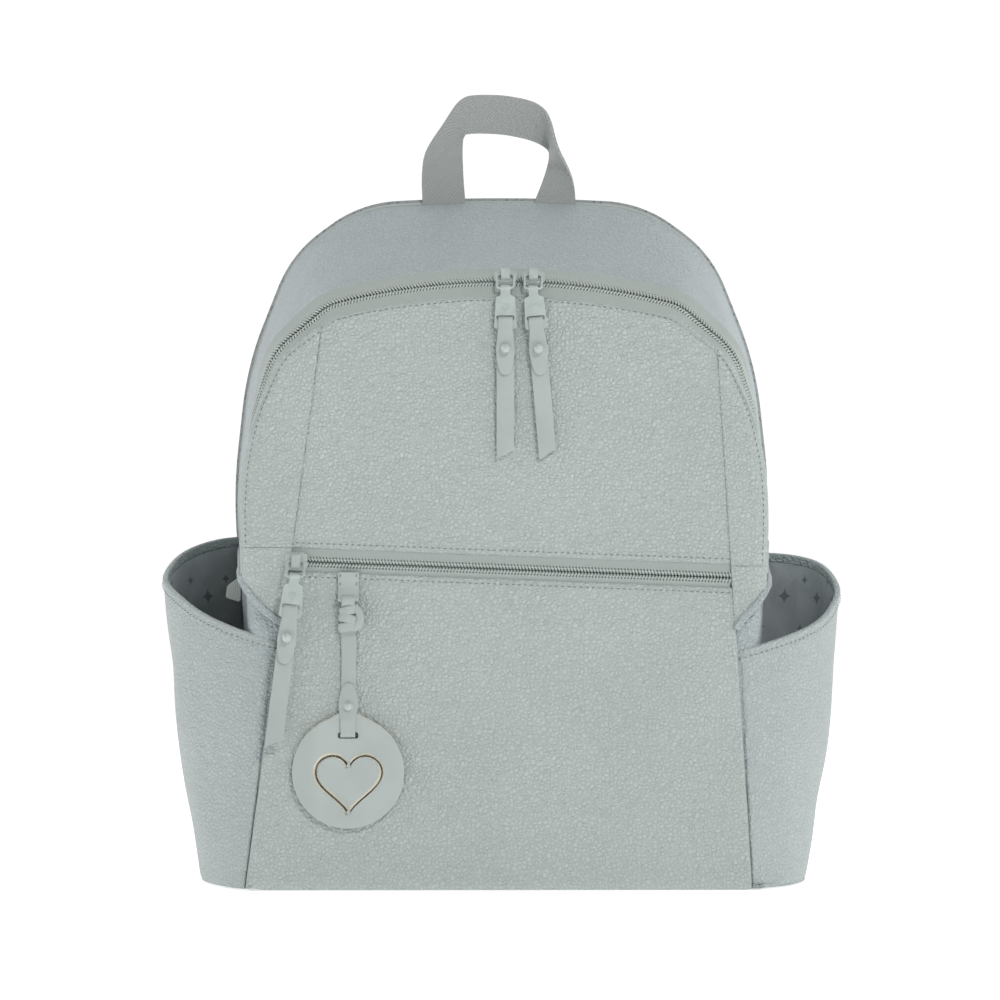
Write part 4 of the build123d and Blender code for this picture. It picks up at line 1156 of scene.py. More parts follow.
def make_pull(label, suffix, link_joint, pull_joint, tilt, seed):
    """Link, plate, doubled strap and ball stud of one zip pull."""
    bar, axis = joint_frame(link_joint)
    low, _ = joint_frame(pull_joint)
    across = unit(-axis)
    down = unit(np.cross(across, AN))
    body_link = JOINTS[link_joint]["child"]
    body_pull = JOINTS[pull_joint]["child"]
    hang = unit(low - bar)
    # wire link
    half = 5.0
    ring_line = rounded([(-half, 0), (half, 0), (half, 12.4), (-half, 12.4)], 2.2, step=0.5, closed=True)
    pts = bar + ring_line[:, :1] * across + ring_line[:, 1:] * hang
    pts = even(pts, step=0.6, closed=True)
    way = run_of(pts, closed=True)
    face = np.broadcast_to(unit(np.cross(across, hang)), pts.shape)
    pile = Pile()
    pile.band(pts, unit(np.cross(way, face)), face, ring(0.8, 0.8, 10), closed=True)
    pile.build(f"{label}_wire{suffix}", "metal", body_link, [f"{label}_link{suffix}"])
    # plate, turned a little on its bar
    c, s = math.cos(math.radians(tilt)), math.sin(math.radians(tilt))
    right, fall = across * c + down * (-s), down * c + across * s
    out = AN
    plate = [(-2.9, 1.0), (2.9, 1.0), (2.9, 4.2), (5.8, 5.4), (6.8, 24.4), (-6.8, 24.4), (-5.8, 5.4), (-2.9, 4.2)]
    outer = rounded(plate, [0.3, 0.3, 0.8, 1.0, 2.2, 2.2, 1.0, 0.8], step=0.35, closed=True)
    slot_hole = rounded([(-5.3, 16.3), (5.3, 16.3), (5.3, 18.9), (-5.3, 18.9)], 1.0, step=0.4, closed=True)
    motif = heart(2.4) * [1, -1] + [0, 11.2]
    pile = Pile()
    pile.plate([outer, slot_hole[::-1]], -0.8, 0.8, low, right, fall, 0.28)
    # raised outline of a small heart on both faces
    for z in (0.8, -0.8):
        lip = even(motif, step=0.35, closed=True)
        pts = low + lip[:, :1] * right + lip[:, 1:] * fall + out * z
        way = run_of(pts, closed=True)
        face = np.broadcast_to(out, pts.shape)
        pile.band(pts, unit(np.cross(way, face)), face, ring(0.28, 0.26, 6), closed=True)
    barrel = low + np.linspace(-2.95, 2.95, 9)[:, None] * across
    pile.band(barrel, np.broadcast_to(down, barrel.shape), np.broadcast_to(out, barrel.shape),
              np.stack([ring(r, r, 16) for r in (1.5, 1.75, 1.8, 1.8, 1.8, 1.8, 1.8, 1.75, 1.5)]))
    pile.build(f"{label}_plate{suffix}", "metal", body_pull, [f"{label}_puller{suffix}"])
    # strap: up the back, through the slot, down the front, over the long tail
    t, start = 1.2, 17.6
    back = [(98.5, -0.4 - t / 2), (60, -0.2 - t / 2 + 0.3 * math.sin(seed)), (44, -0.5 - t / 2), (27, -1.0 - t / 2),
            (start + 1.0, -1.0 - t / 2), (start - 0.2, -0.5), (start - 0.2, 0.5), (start + 1.0, 1.0 + t / 2),
            (25, 1.55), (31, 0.85), (40, 0.6), (51.5, 0.8)]
    side_line = even(rounded(back, [14, 14, 8, 0.7, 0.5, 0.5, 0.7, 6, 6, 8], step=0.4), step=0.7)
    path = low + side_line[:, :1] * fall + side_line[:, 1:] * out
    way = run_of(path)
    side = np.broadcast_to(right, path.shape)
    up = unit(np.cross(way, side))
    steps = np.linalg.norm(np.diff(path, axis=0), axis=1)
    at = np.concatenate([[0], np.cumsum(steps)])
    tip = at[-1] - at
    half = level(tip, (0, 1.0), (0.6, 2.3), (2, 3.4), (5, 4.3), (9, 5.1), (15, 5.6), (21, 4.9), (27, 4.3), (34, 4.3),
                 (40, 5.1), (60, 5.2))
    profiles = []
    for w in half:
        p = slat(10, t, 0.35)
        profiles.append(np.stack([np.sign(p[:, 0]) * (w - (5 - abs(p[:, 0])) * min(1, w)), p[:, 1]], axis=1))
    pile = Pile()
    pile.band(path, side, up, np.array(profiles), slide=-0.55 * np.clip(1 - at / 14, 0, 1) * np.sign(up[0] @ out))
    pile.build(f"{label}_strap{suffix}", "strap_leather", body_pull, [f"{label}_pull_strap{suffix}"])
    # stud
    seat = low + fall * 36.0 + out * 1.3
    pile = Pile()
    pile.ball(seat + out * 2.3, [right * 3.0, fall * 3.0, out * 2.8])
    pile.ball(seat + out * 0.2, [right * 2.6, fall * 2.6, out * 0.7])
    slit = seat + fall * np.linspace(-6.0, -2.8, 5)[:, None] + out * 0.12
    pile.band(slit, np.broadcast_to(right, slit.shape), np.broadcast_to(out, slit.shape), ring(0.3, 0.12, 6))
    pile.build(f"{label}_stud{suffix}", "pearl", body_pull, [f"{label}_pull_stud{suffix}"])


def make_slider(node, body, origin, along, rear, out, reach):
    """Zip slider: waisted body, rails and an arched keeper for the link."""
    pile = Pile()
    top = rounded([(-6.8, -3.4), (-2.5, -5.4), (2.5, -5.4), (6.8, -4.0), (6.8, 4.0), (2.5, 5.4), (-2.5, 5.4),
                   (-6.8, 3.4)],
                  [1.4, 3, 3, 1.6, 1.6, 3, 3, 1.4], step=0.5, closed=True)
    pile.plate([top], 2.1, 3.65, origin, along, rear, 0.5)
    low = rounded([(-5.4, -4.4), (5.4, -4.4), (5.4, reach), (-5.4, reach)], 0.6, step=0.4, closed=True)
    pile.plate([low], -3.65, -2.3, origin, along, rear, 0.3)
    for side in (-1, 1) if reach > 2 else (-1,):
        rail = origin + rear * side * 5.0 + out * 1.7 + np.linspace(-5.2, 5.2, 9)[:, None] * along
        pile.band(rail, np.broadcast_to(rear, rail.shape), np.broadcast_to(out, rail.shape), slat(0.9, 1.7, 0.4))
    post = origin + along * 3.7 + np.linspace(-2.4, 2.2, 4)[:, None] * out
    pile.band(post, np.broadcast_to(along, post.shape), np.broadcast_to(rear, post.shape), slat(3, 1.1, 0.5))
    keeper = rounded([(-3.75, 3.2), (-3.75, 6.15), (3.75, 6.15), (3.75, 3.2)], [1.2, 1.2], step=0.35)
    keeper = even(keeper, step=0.5)
    path = origin + keeper[:, :1] * rear + keeper[:, 1:] * out
    way = run_of(path)
    side = np.broadcast_to(along, path.shape)
    pile.band(path, side, unit(np.cross(way, side)), slat(5.4, 1.25, 0.5))
    pile.build(node + "_body", "metal", body, [node])


def pulls():
    """Sliders and pulls of the three zip heads."""
    for word, tilt in (("left", 0.0), ("right", 7.0)):
        bar, axis = joint_frame(f"main_link_{word}_swing")
        along = unit(-axis)
        away = unit(np.cross(AN, along))
        out, rear = unit(away + AN), unit(away - AN)
        make_slider(f"main_slider_{word}", f"main_slider_{word}", bar - out * 4.55, along, rear, out, 0.5)
        make_pull("main", "_" + word, f"main_link_{word}_swing", f"main_pull_{word}_swing", tilt, 1.0 + tilt)
    bar, axis = joint_frame("front_link_swing")
    along = unit(-axis)
    make_slider("front_slider", "front_slider", bar - AN * 4.55, along, unit(np.cross(AN, along)), AN, 4.4)
    make_pull("front", "", "front_link_swing", "front_pull_swing", -5.0, 3.0)


# ---- tag ----------------------------------------------------------------
TAG_X, EYE_V, SLOT_V, DISC_V, DISC_R = -92.0, 171.0, 91.1, 69.4, 33.0


def tag_parts():
    """Stitched loop, knotted strap, stud and round disc with a cut heart line."""
    spot = lambda x, v, n: front(TAG_X + np.asarray(x, float), v, n)
    # loop: folded strip sewn under the zip's edge, holding the strap's eye
    loop_line = [(187, 0.9), (178, 1.0), (173.6, 3.0), (170.6, 5.1), (169.6, 3.4), (171.6, 1.2), (186, 0.3)]
    line = even(rounded(loop_line, 1.2, step=0.3), step=0.6)
    pile = Pile()
    path = spot(0 * line[:, 0], line[:, 0], line[:, 1])
    way = run_of(path)
    side = np.broadcast_to(AX, path.shape)
    pile.band(path, side, unit(np.cross(way, side)), slat(12.2, 0.7, 0.3))
    pile.build("tag_loop_strip", "trim_leather", "bag", ["tag_loop"])
    for x in (-4.8, 4.8):
        v = np.linspace(175.5, 185, 12)
        stitch("bag", spot(x + 0 * v, v, 1.75), AN)
    v = np.linspace(-4.8, 4.8, 10)
    stitch("bag", spot(v, 176.0, 1.75), AN)
    # strap: eye, knot, tail, through the disc's slot and back up in front
    strap_line = [(168.0, 3.6), (160, 3.4), (150, 1.3), (120, 0.9), (100, 0.8), (92.6, 0.9), (90.4, 1.6), (90.4, 3.8),
             (92.6, 4.4),
             (100, 4.3), (107, 2.4), (114, 2.2), (121.8, 2.4)]
    line = even(rounded(strap_line, [3, 6, 8, 10, 1.2, 0.8, 0.8, 1.2, 5, 5, 5], step=0.4), step=0.8)
    path = spot(0.3 * np.sin(line[:, 0] / 17), line[:, 0], line[:, 1])
    way = run_of(path)
    side = np.broadcast_to(AX, path.shape)
    size = np.linalg.norm(np.diff(path, axis=0), axis=1).sum()
    at = np.linspace(0, size, len(path))
    profiles = []
    for a in at:
        tip = size - a
        w = level(tip, (0, 0.8), (0.5, 2.0), (2, 3.3), (5, 4.6), (9, 5.6), (14, 5.8), (20, 4.8), (28, 4.3), (34, 4.4))
        w = min(w, 3.4 + a * 0.1)
        p = slat(2 * w, 1.1, 0.3)
        profiles.append(p)
    pile = Pile()
    pile.band(path, side, unit(np.cross(way, side)), np.array(profiles))
    # knot: two wrapped turns and the bulging cross-over
    for k, (v0, tiltv, r) in enumerate(((164.5, 1.2, 4.0), (159.5, -1.6, 4.4), (155.0, 1.0, 3.9))):
        t = np.linspace(0, 2 * math.pi, 40, endpoint=False)
        pts = spot(0.6 + (5.3 + 0.3 * k % 2) * np.cos(t), v0 + tiltv * np.cos(t), 3.4 + (r - 1.4) * np.sin(t))
        way = run_of(pts, closed=True)
        out = unit(pts - pts.mean(axis=0))
        across = unit(np.cross(way, out))
        pile.band(pts, across, unit(np.cross(across, way)), ring(2.7, 0.75, 10, 2.6), closed=True)
    t = np.linspace(-0.4, math.pi + 0.3, 30)
    pts = spot(2.8 + 4.4 * np.sin(t), 160 + 6.0 * np.cos(t), 5.2 + 1.2 * np.sin(t))
    way = run_of(pts)
    side_k = unit(np.cross(way, AN))
    pile.band(pts, side_k, np.cross(way, side_k), ring(2.2, 0.8, 10, 2.6))
    t = np.linspace(0, 2 * math.pi, 30, endpoint=False)
    pts = spot(0 * t, EYE_V - 1.2 + 3.3 * np.cos(t), 3.5 + 2.5 * np.sin(t))
    way = run_of(pts, closed=True)
    side_e = np.broadcast_to(AX, pts.shape)
    pile.band(pts, side_e, unit(np.cross(way, side_e)), slat(7.8, 0.8, 0.3), closed=True)
    pile.build("tag_tie", "strap_leather", "tag_strap", ["tag_strap"])
    pile = Pile()
    seat = spot(0, 108.0, 3.0)
    pile.ball(seat + AN * 1.2, [AX * 2.6, AV * 2.6, AN * 2.0])
    pile.ball(seat, [AX * 3.0, AV * 3.0, AN * 0.6])
    pile.build("tag_rivet", "pearl", "tag_strap", ["tag_stud"])
    # disc
    t = np.linspace(0, 2 * math.pi, 96, endpoint=False)
    edge = np.stack([DISC_R * np.cos(t), DISC_V + DISC_R * np.sin(t)], axis=1)
    bump = 2.2 * np.exp(-((edge[:, 0]) / 8.5) ** 4) * (edge[:, 1] > DISC_V)
    edge[:, 1] += bump
    hole = [(-6, SLOT_V - 1.8), (6, SLOT_V - 1.8), (6, SLOT_V + 1.8), (-6, SLOT_V + 1.8)]
    hole = rounded(hole, 1.2, step=0.5, closed=True)
    cuts = []
    cut = bpy.context.scene.bag_sizes.cut / MM
    narrow = []
    for a, b in ((0.035, 0.47), (0.53, 0.965)):
        line = even(heart(19.5, 90, a, b), step=0.9) + [0, DISC_V - 4.5]
        cuts.append(outline_band(line, cut))
        lean = line + [0.35, -0.3]
        narrow.append(outline_band(lean[1:-1], cut * 0.42))
    pile = Pile()
    pile.plate([edge, hole] + cuts, 2.45, 3.5, spot(0, 0, 0), AX, AV, 0.25)
    pile.plate([edge * [0.992, 1] + [0, 0.5], hole] + narrow, 1.7, 2.43, spot(0, 0, 0), AX, AV, 0.15, mat=1)
    pile.build("tag_round", ["tag_face", "cut_edge"], "tag_disc", ["tag_disc"])


# ---- carrying parts -----------------------------------------------------
HANDLE_Y = 78.4


def handle_part():
    """Twill webbing handle, creased at one shoulder and twisted at the other."""
    pairs = np.array([
        (-49.0, 402, -22.5, 402, 0, 0), (-49.2, 413, -22.5, 413, 0, 0), (-49.8, 428, -23.7, 428, 0, 0),
        (-48.6, 442, -24.3, 443, 0, 0), (-44.2, 451, -24.2, 449.5, 1, 0), (-36.1, 462, -24.0, 452.5, 2, 0),
        (-29.9, 472.6, -23.8, 454.4, 2, 0), (-25, 478.6, -23.7, 455.2, -1, -1), (-14.4, 479.8, -14.4, 455.8, -2, -1),
        (1.1, 479.5, 1.1, 455.2, -1, 1), (16.6, 476.9, 16.6, 452.1, 0, 0), (24.0, 472.9, 23.0, 449.6, -3, 2),
        (28.4, 466.0, 27.3, 447.2, -6, 5), (30.6, 456.0, 29.2, 445.6, -9.5, 9), (32.2, 448.5, 29.7, 443.6, -11, 11),
        (36.0, 440.5, 29.2, 439.0, -9, 9), (41.5, 432.0, 27.6, 433.0, -4, 4), (45.0, 424.0, 24.8, 424.5, -1, 1),
        (46.0, 413, 20.0, 413, 0, 0), (46.2, 402, 18.2, 402, 0, 0)], float)
    middle = (pairs[:, :2] + pairs[:, 2:4]) / 2
    size = np.concatenate([[0], np.cumsum(np.linalg.norm(np.diff(middle, axis=0), axis=1) + 1)])
    at = np.linspace(0, size[-1], 150)
    pairs = np.stack([np.interp(at, size, pairs[:, k]) for k in range(6)], axis=1)
    soft = np.ones(9) / 9
    for k in range(6):
        pairs[:, k] = np.convolve(np.pad(pairs[:, k], 4, "edge"), soft, "valid")
    outer = np.stack([pairs[:, 0], HANDLE_Y + pairs[:, 4], pairs[:, 1]], axis=1)
    inner = np.stack([pairs[:, 2], HANDLE_Y + pairs[:, 5], pairs[:, 3]], axis=1)
    across = np.linspace(0, 1, 11)
    grid = inner[:, None] * (1 - across[None, :, None]) + outer[:, None] * across[None, :, None]
    pile = Pile()
    pile.shell(grid, bpy.context.scene.bag_sizes.webbing / MM)
    obj = pile.build("handle_webbing", "webbing", None, ["top_handle"])
    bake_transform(obj)


def strap_frame(side):
    start = np.array([side * 47.0, 91, 372])
    end = np.array([side * 124.0, 91, 48])
    run = unit(end - start)
    return start, run, np.linalg.norm(end - start)


def bow(a, length, rise=46.0):
    """Height of the strap's curve off its anchor line."""
    radius = ((length / 2) ** 2 + rise ** 2) / (2 * rise)
    return rise - radius + np.sqrt(radius ** 2 - (a - length / 2) ** 2)


def back_parts():
    """Padded back, yoke, shoulder straps, webbing, ladder locks and stroller rings."""
    rear = arch(BACK_HALF, BACK_BENDS, low=3.6, count=300)
    rings = np.array([0, 0.004, 0.01, 0.02, 0.035] + list(np.linspace(0.06, 1, 26)))
    # rings shrink from the outline to a spine line up the middle
    edge = rear[0] - rear[1] * 0.4
    spine = np.stack([edge[:, 0] * 0.001, np.clip(edge[:, 1], 0, 300)], axis=1)
    pts = edge[:, None] * (1 - rings[None, :, None]) + spine[:, None] * rings[None, :, None]
    x, z = pts[..., 0], pts[..., 1]
    d = rings[None, :] * 140
    pad = lambda cx, cz, wx, wz: (np.clip(1 - (abs((x - cx) / wx)) ** 4, 0, 1)
                                  * np.clip(1 - (abs((z - cz) / wz)) ** 6, 0, 1)) ** 0.5
    puff = 4.6 * np.maximum.reduce([pad(-44, 232, 36, 96), pad(44, 232, 36, 96), pad(0, 88, 82, 34)])
    y = 83.4 - edge_roll(d, 3.0, 2.2) + puff + 0.25 * ripple(x, z, 24, 2)
    grid = np.stack([x, y, z], axis=-1)
    pile = Pile()
    pile.shell(grid, 2.6)
    obj = pile.build("back_pad", "mesh", "bag", ["back_panel", "back_foam"])
    MADE["back"] = obj
    for cx, cz, wx, wz in ((-44, 232, 38, 98), (44, 232, 38, 98), (0, 88, 84, 36)):
        shape = even(rounded([(cx - wx, cz - wz), (cx + wx, cz - wz), (cx + wx, cz + wz), (cx - wx, cz + wz)], 16,
                             closed=True), step=2.0, closed=True)
        pts = np.stack([shape[:, 0], 0 * shape[:, 0] + 100, shape[:, 1]], axis=1)
        pts = drape(pts, np.array([0, -1.0, 0]), [obj], 0.15)
        stitch("bag", np.concatenate([pts, pts[:1]]), np.array([0, 1.0, 0]))
    # yoke and lower tabs
    back, west = np.array([0, 1.0, 0]), np.array([-1.0, 0, 0])
    up = np.array([0, 0, 1.0])
    pile = Pile()
    yoke = rounded([(-84, 401), (84, 401), (70, 367), (-70, 367)], 6, step=1, closed=True) * [-1, 1]
    pile.plate([yoke], 83.3, 85.2, np.zeros(3), west, up, 0.6)
    for side in (-1, 1):
        start, run, length = strap_frame(side)
        wide = unit(np.cross(back, run))
        line = np.array([(-22, -6.4), (-14, -5.2), (-7, -1.6), (-0.4, 0.0)])
        line = even(rounded(line, 6, step=0.6), step=1.0)
        path = start + line[:, :1] * run + line[:, 1:] * back
        way = run_of(path)
        s = np.broadcast_to(wide, path.shape)
        pile.band(path, s, unit(np.cross(way, s)), slat(26, 2.6, 1.1))
    pile.build("yoke", "trim_leather", "bag", ["strap_yoke"])
    pile = Pile()
    for side in (-1, 1):
        start, run, length = strap_frame(side)
        wide = unit(np.cross(back, run))
        tab = [(side * a, b) for a, b in ((104, 52), (144, 44), (144, 12), (116, 12))]
        tab = rounded(tab, 5, step=1, closed=True) * [-1, 1]
        pile.plate([tab], 83.3, 85.2, np.zeros(3), west, up, 0.6)
        line = np.array([(length + 0.4, 0.0), (length + 7, -1.6), (length + 14, -5.2), (length + 20, -6.4)])
        line = even(rounded(line, 6, step=0.6), step=1.0)
        path = start + line[:, :1] * run + line[:, 1:] * back
        way = run_of(path)
        s = np.broadcast_to(wide, path.shape)
        pile.band(path, s, unit(np.cross(way, s)), slat(25, 1.8, 0.7))
    pile.build("lower_tabs", "strap_webbing", "bag", ["strap_lower_tabs"])
    # shoulder straps
    for side, word in LR:
        start, run, length = strap_frame(side)
        wide = unit(np.cross(back, run))
        join = 0.62 * length
        a = np.linspace(0, join, 90)
        base = start + a[:, None] * run + bow(a, length)[:, None] * back
        way = run_of(base)
        out = unit(np.cross(wide[None].repeat(len(a), 0), way))
        out = out * np.sign(out @ back)[:, None]
        width = np.interp(a, [0, 40, 90, join - 28, join - 4, join], [12.5, 14, 30, 30, 13.5, 13])
        width = np.convolve(np.pad(width, 4, "edge"), np.ones(9) / 9, "valid")
        plump = np.interp(a, [0, 8, 40, join - 22, join - 3, join], [1.5, 2.4, 4.0, 4.0, 2.4, 1.5])
        profiles = []
        for w, h in zip(width, plump):
            t = np.linspace(0, 2 * math.pi, 40, endpoint=False)
            c, s = np.cos(t), np.sin(t)
            px = np.sign(c) * abs(c) ** 0.5 * w
            rim = np.clip((w - abs(px)) / 4.0, 0, 1)
            py = np.sign(s) * (0.9 + (h - 0.9) * rim ** 0.6) * np.minimum(1, abs(s) ** 0.35)
            profiles.append(np.stack([px, py + h - 1.3], axis=1))
        pile = Pile()
        pile.band(base, np.broadcast_to(wide, base.shape), out, np.array(profiles))
        obj = pile.build(f"shoulder_pad_{word}", "mesh", f"strap_{word}", [f"strap_pad_{word}"])
        for edge in (-1, 1):
            pts = base + wide * edge * (width - 4.2)[:, None] + out * 20
            pts = drape(pts[3:-3], -out[3:-3], [obj], 0.12)
            stitch(f"strap_{word}", pts, out[len(out) // 2])
        # webbing over the pad's middle, through the lock and down to the tab
        a = np.linspace(join - 62, length, 120)
        lift = np.interp(a, [join - 62, join - 6, join + 4, join + 9, join + 14, length],
                         [6.7, 6.2, 2.0, 2.6, 0.0, -0.2])
        lift = np.convolve(np.pad(lift, 3, "edge"), np.ones(7) / 7, "valid")
        base = start + a[:, None] * run + (bow(a, length) + lift)[:, None] * back
        way = run_of(base)
        s = np.broadcast_to(wide, base.shape)
        pile = Pile()
        pile.band(base, s, unit(np.cross(way, s)), slat(25, 1.5, 0.6))
        pile.build(f"shoulder_webbing_{word}", "strap_webbing", f"strap_{word}", [f"strap_webbing_{word}"])
        pile = Pile()
        outer = rounded([(-13, -17), (13, -17), (13, 17), (-13, 17)], 3, step=0.7, closed=True)
        holes = [rounded([(x - 2.1, -13), (x + 2.1, -13), (x + 2.1, 13), (x - 2.1, 13)], 0.9, step=0.4, closed=True)
                 for x in (-6.5, 1.5, 8.5)]

        def bend(local, length=length, join=join):
            local = local.copy()
            local[:, 2] += bow(join + 19 + local[:, 0], length) - bow(join + 19, length)
            return local
        mid = start + (join + 19) * run + (bow(join + 19, length)) * back
        pile.plate([outer] + holes, 1.0, 4.4, mid, run, unit(np.cross(back, run)), 0.6, bend=bend)
        pile.build(f"ladder_lock_{word}_frame", "moulded", f"strap_{word}", [f"ladder_lock_{word}"])
    # stroller rings on folded tabs
    pile = Pile()
    for side in (-1, 1):
        c = np.array([side * 108, 87.6, 372.0])
        line = [(11, -3.4), (8, -3.4), (3.2, -1.6), (2.6, 1.6), (0, 2.7), (-2.6, 1.4), (-2.6, -1.4),
                (0.5, -3.3), (10, -2.6)]
        line = even(rounded(line, 1.4, step=0.4), step=0.7)
        path = c + line[:, :1] * up + line[:, 1:] * back
        way = run_of(path)
        s = np.broadcast_to(np.array([1.0, 0, 0]), path.shape)
        pile.band(path, s, unit(np.cross(way, s)), slat(20, 1.1, 0.5))
    pile.build("ring_tabs", "strap_webbing", "bag", ["stroller_ring_tabs"])
    for side, word in LR:
        c = np.array([side * 108, 87.6, 372.0])
        shape = [(-14, 0), (14, 0), (14, -12), (7, -22), (-7, -22), (-14, -12)]
        shape = rounded(shape, [3, 3, 6, 8, 8, 6], step=0.6, closed=True)
        shape = even(shape, step=0.8, closed=True)
        pts = c + shape[:, :1] * AX + shape[:, 1:] * up
        way = run_of(pts, closed=True)
        face = np.broadcast_to(back, pts.shape)
        pile = Pile()
        pile.band(pts, unit(np.cross(way, face)), face, ring(1.6, 1.6, 12), closed=True)
        pile.build(f"stroller_ring_{word}_wire", "metal", f"ring_{word}", [f"stroller_ring_{word}"])


def linings():
    """Satin linings, pocket back wall, inner pocket and the satin floor in the place of the stiffening board."""
    fore = arch(ZIP_HALF, ZIP_BENDS, low=8, count=160)
    rear = arch(BACK_HALF, BACK_BENDS, low=8, count=160)
    b = grow(rear, -4.2)
    out = np.stack([fore[1][:, 0], 0 * fore[1][:, 0], fore[1][:, 1]], axis=1)
    start, end = gusset_start(fore) - out * 4.2 - AN * 4.0, np.stack([b[:, 0], 0 * b[:, 0] + 74.2, b[:, 1]], axis=1)
    s = np.linspace(0, 1, 28)
    A, B = np.meshgrid(np.linspace(0, 1, len(start)), s, indexing="ij")
    pts = start[:, None] * (1 - B[..., None]) + end[:, None] * B[..., None]
    pts = pts - out[:, None] * (0.8 + 0.8 * ripple(A * 800, B * 120, 22, 1))[..., None]
    pile = Pile()
    pile.shell(pts, 0.5)
    # back sheet and floor
    u = np.linspace(-1, 1, 60)
    rows = np.linspace(6.4, 405, 70)
    half = np.interp(rows, b[:len(b) // 2, 1], b[:len(b) // 2, 0])
    X, Z = u[:, None] * half[None], rows[None].repeat(60, 0)
    pile.shell(np.stack([X, 73.8 + 0.5 * ripple(X, Z, 26, 4), Z], axis=-1), 0.5)
    x, y = np.meshgrid(np.linspace(-139, 139, 60), np.linspace(-57, 72, 26), indexing="ij")
    pile.shell(np.stack([x, y, 6.2 + 0.25 * ripple(x, y, 20, 7)], axis=-1), 0.5)
    pile.build("main_satin", "satin", "bag", ["main_lining", "base_board"])

    def inner(u, s):
        x, v = flap_corners(u, s)
        return x * 0.965, 204 + (v - fold_v(0)) * 0.93

    panel(inner, "flap", "flap_satin", ["flap_lining"], shape=lambda x, v: -3.3 + 0 * x, thick=0.5,
          rolls=((0.6, 0.3),) * 4, pillow=0.1, waves=0.25, mat="satin", seed=6.0)
    def divider(u, s):
        x = -139.5 + 279 * u
        return x, 5 + (fold_v(x) - 1.2 - 5) * s

    panel(divider, "bag", "divider_satin", ["pocket_back_wall"], shape=lambda x, v: -18.2 + 0 * x, thick=2.4,
          rolls=((1, 0.8),) * 4, pillow=0.4, waves=0.5, mat="satin", seed=8.0)
    pile = Pile()
    x, z = np.meshgrid(np.linspace(-110, 110, 70), spaced(178, 4) * 178 + 12, indexing="ij")
    y = (60.4 - 0.8 * ripple(x, z, 30, 9) * np.clip((110 - abs(x)) / 20, 0, 1)
         + 12.5 * np.clip((abs(x) - 106) / 4, 0, 1) ** 2)
    pile.shell(np.stack([x, y, z], axis=-1), 0.9)
    cloth(pile.build("inner_pocket_satin", "satin", "bag", ["inner_pocket"]))


def threads():
    """Every sewn line, one piece of thread for each body."""
    size = bpy.context.scene.bag_sizes
    for body, lines in STITCHES.items():
        repeat_along(f"thread_{body}", lines, body, "thread", size.stitch / MM / 2, size.thread / MM / 2,
                     size.thread / MM * 0.42, size.stitch_pitch / MM)


def stage():
    """Floor, soft lights and camera."""
    mesh = bpy.data.meshes.new("floor")
    r = 12.0
    mesh.from_pydata([(-r, -r, -0.0004), (r, -r, -0.0004), (r, r, -0.0004), (-r, r, -0.0004)], [], [(0, 1, 2, 3)])
    floor = bpy.data.objects.new("floor", mesh)
    mesh.materials.append(finish_of("ground"))
    bpy.context.scene.collection.objects.link(floor)
    world = bpy.data.worlds.new("studio")
    world.use_nodes = True
    tree = world.node_tree
    studio = Shader.__new__(Shader)
    studio.tree = tree
    way = studio.axes(studio.node("ShaderNodeTexCoord", output=0))
    behind, above = way[1].ease(-0.35, 0.15, 0.36, 1.04), way[2].ease(0.25, 0.95, 1.0, 0.5)
    tree.links.new((behind * above).socket, tree.nodes["Background"].inputs["Strength"])
    tree.nodes["Background"].inputs["Color"].default_value = (1, 1, 1, 1)
    bpy.context.scene.world = world
    for name, spot, size, power in (("key", (0.9, -2.1, 1.9), 0.5, 26), ("left", (-2.3, -0.4, 1.0), 0.9, 9),
                                    ("right", (2.3, -0.2, 1.2), 0.9, 8), ("top", (-0.2, 0.6, 2.4), 1.0, 4)):
        light = bpy.data.lights.new(name, "AREA")
        light.size, light.energy = size, power
        lamp = bpy.data.objects.new(name, light)
        lamp.location = spot
        lamp.rotation_euler = (Vector((0, 0, 0.22)) - Vector(spot)).to_track_quat("-Z", "Y").to_euler()
        bpy.context.scene.collection.objects.link(lamp)
    camera = bpy.data.cameras.new("camera")
    camera.lens, camera.sensor_width = 178.5, 36
    eye = bpy.data.objects.new("camera", camera)
    target = Vector((-0.0028, -0.088, 0.2295))
    turn = math.radians(-0.6)
    eye.location = target + Vector((math.sin(turn) * 2.912, -math.cos(turn) * 2.912, 0.02))
    eye.rotation_euler = (target - eye.location).to_track_quat("-Z", "Y").to_euler()
    bpy.context.scene.collection.objects.link(eye)
    bpy.context.scene.camera = eye
    bpy.context.scene.view_settings.view_transform = "Standard"


# ---- add-on -------------------------------------------------------------
def colour_setting(label, about, *colour):
    return FloatVectorProperty(name=label, description=about, subtype="COLOR", size=4, min=0, max=1,
                               default=rgb(*colour))


def length_setting(label, about, value):
    return FloatProperty(name=label, description=about, default=value * MM, min=0, unit="LENGTH")


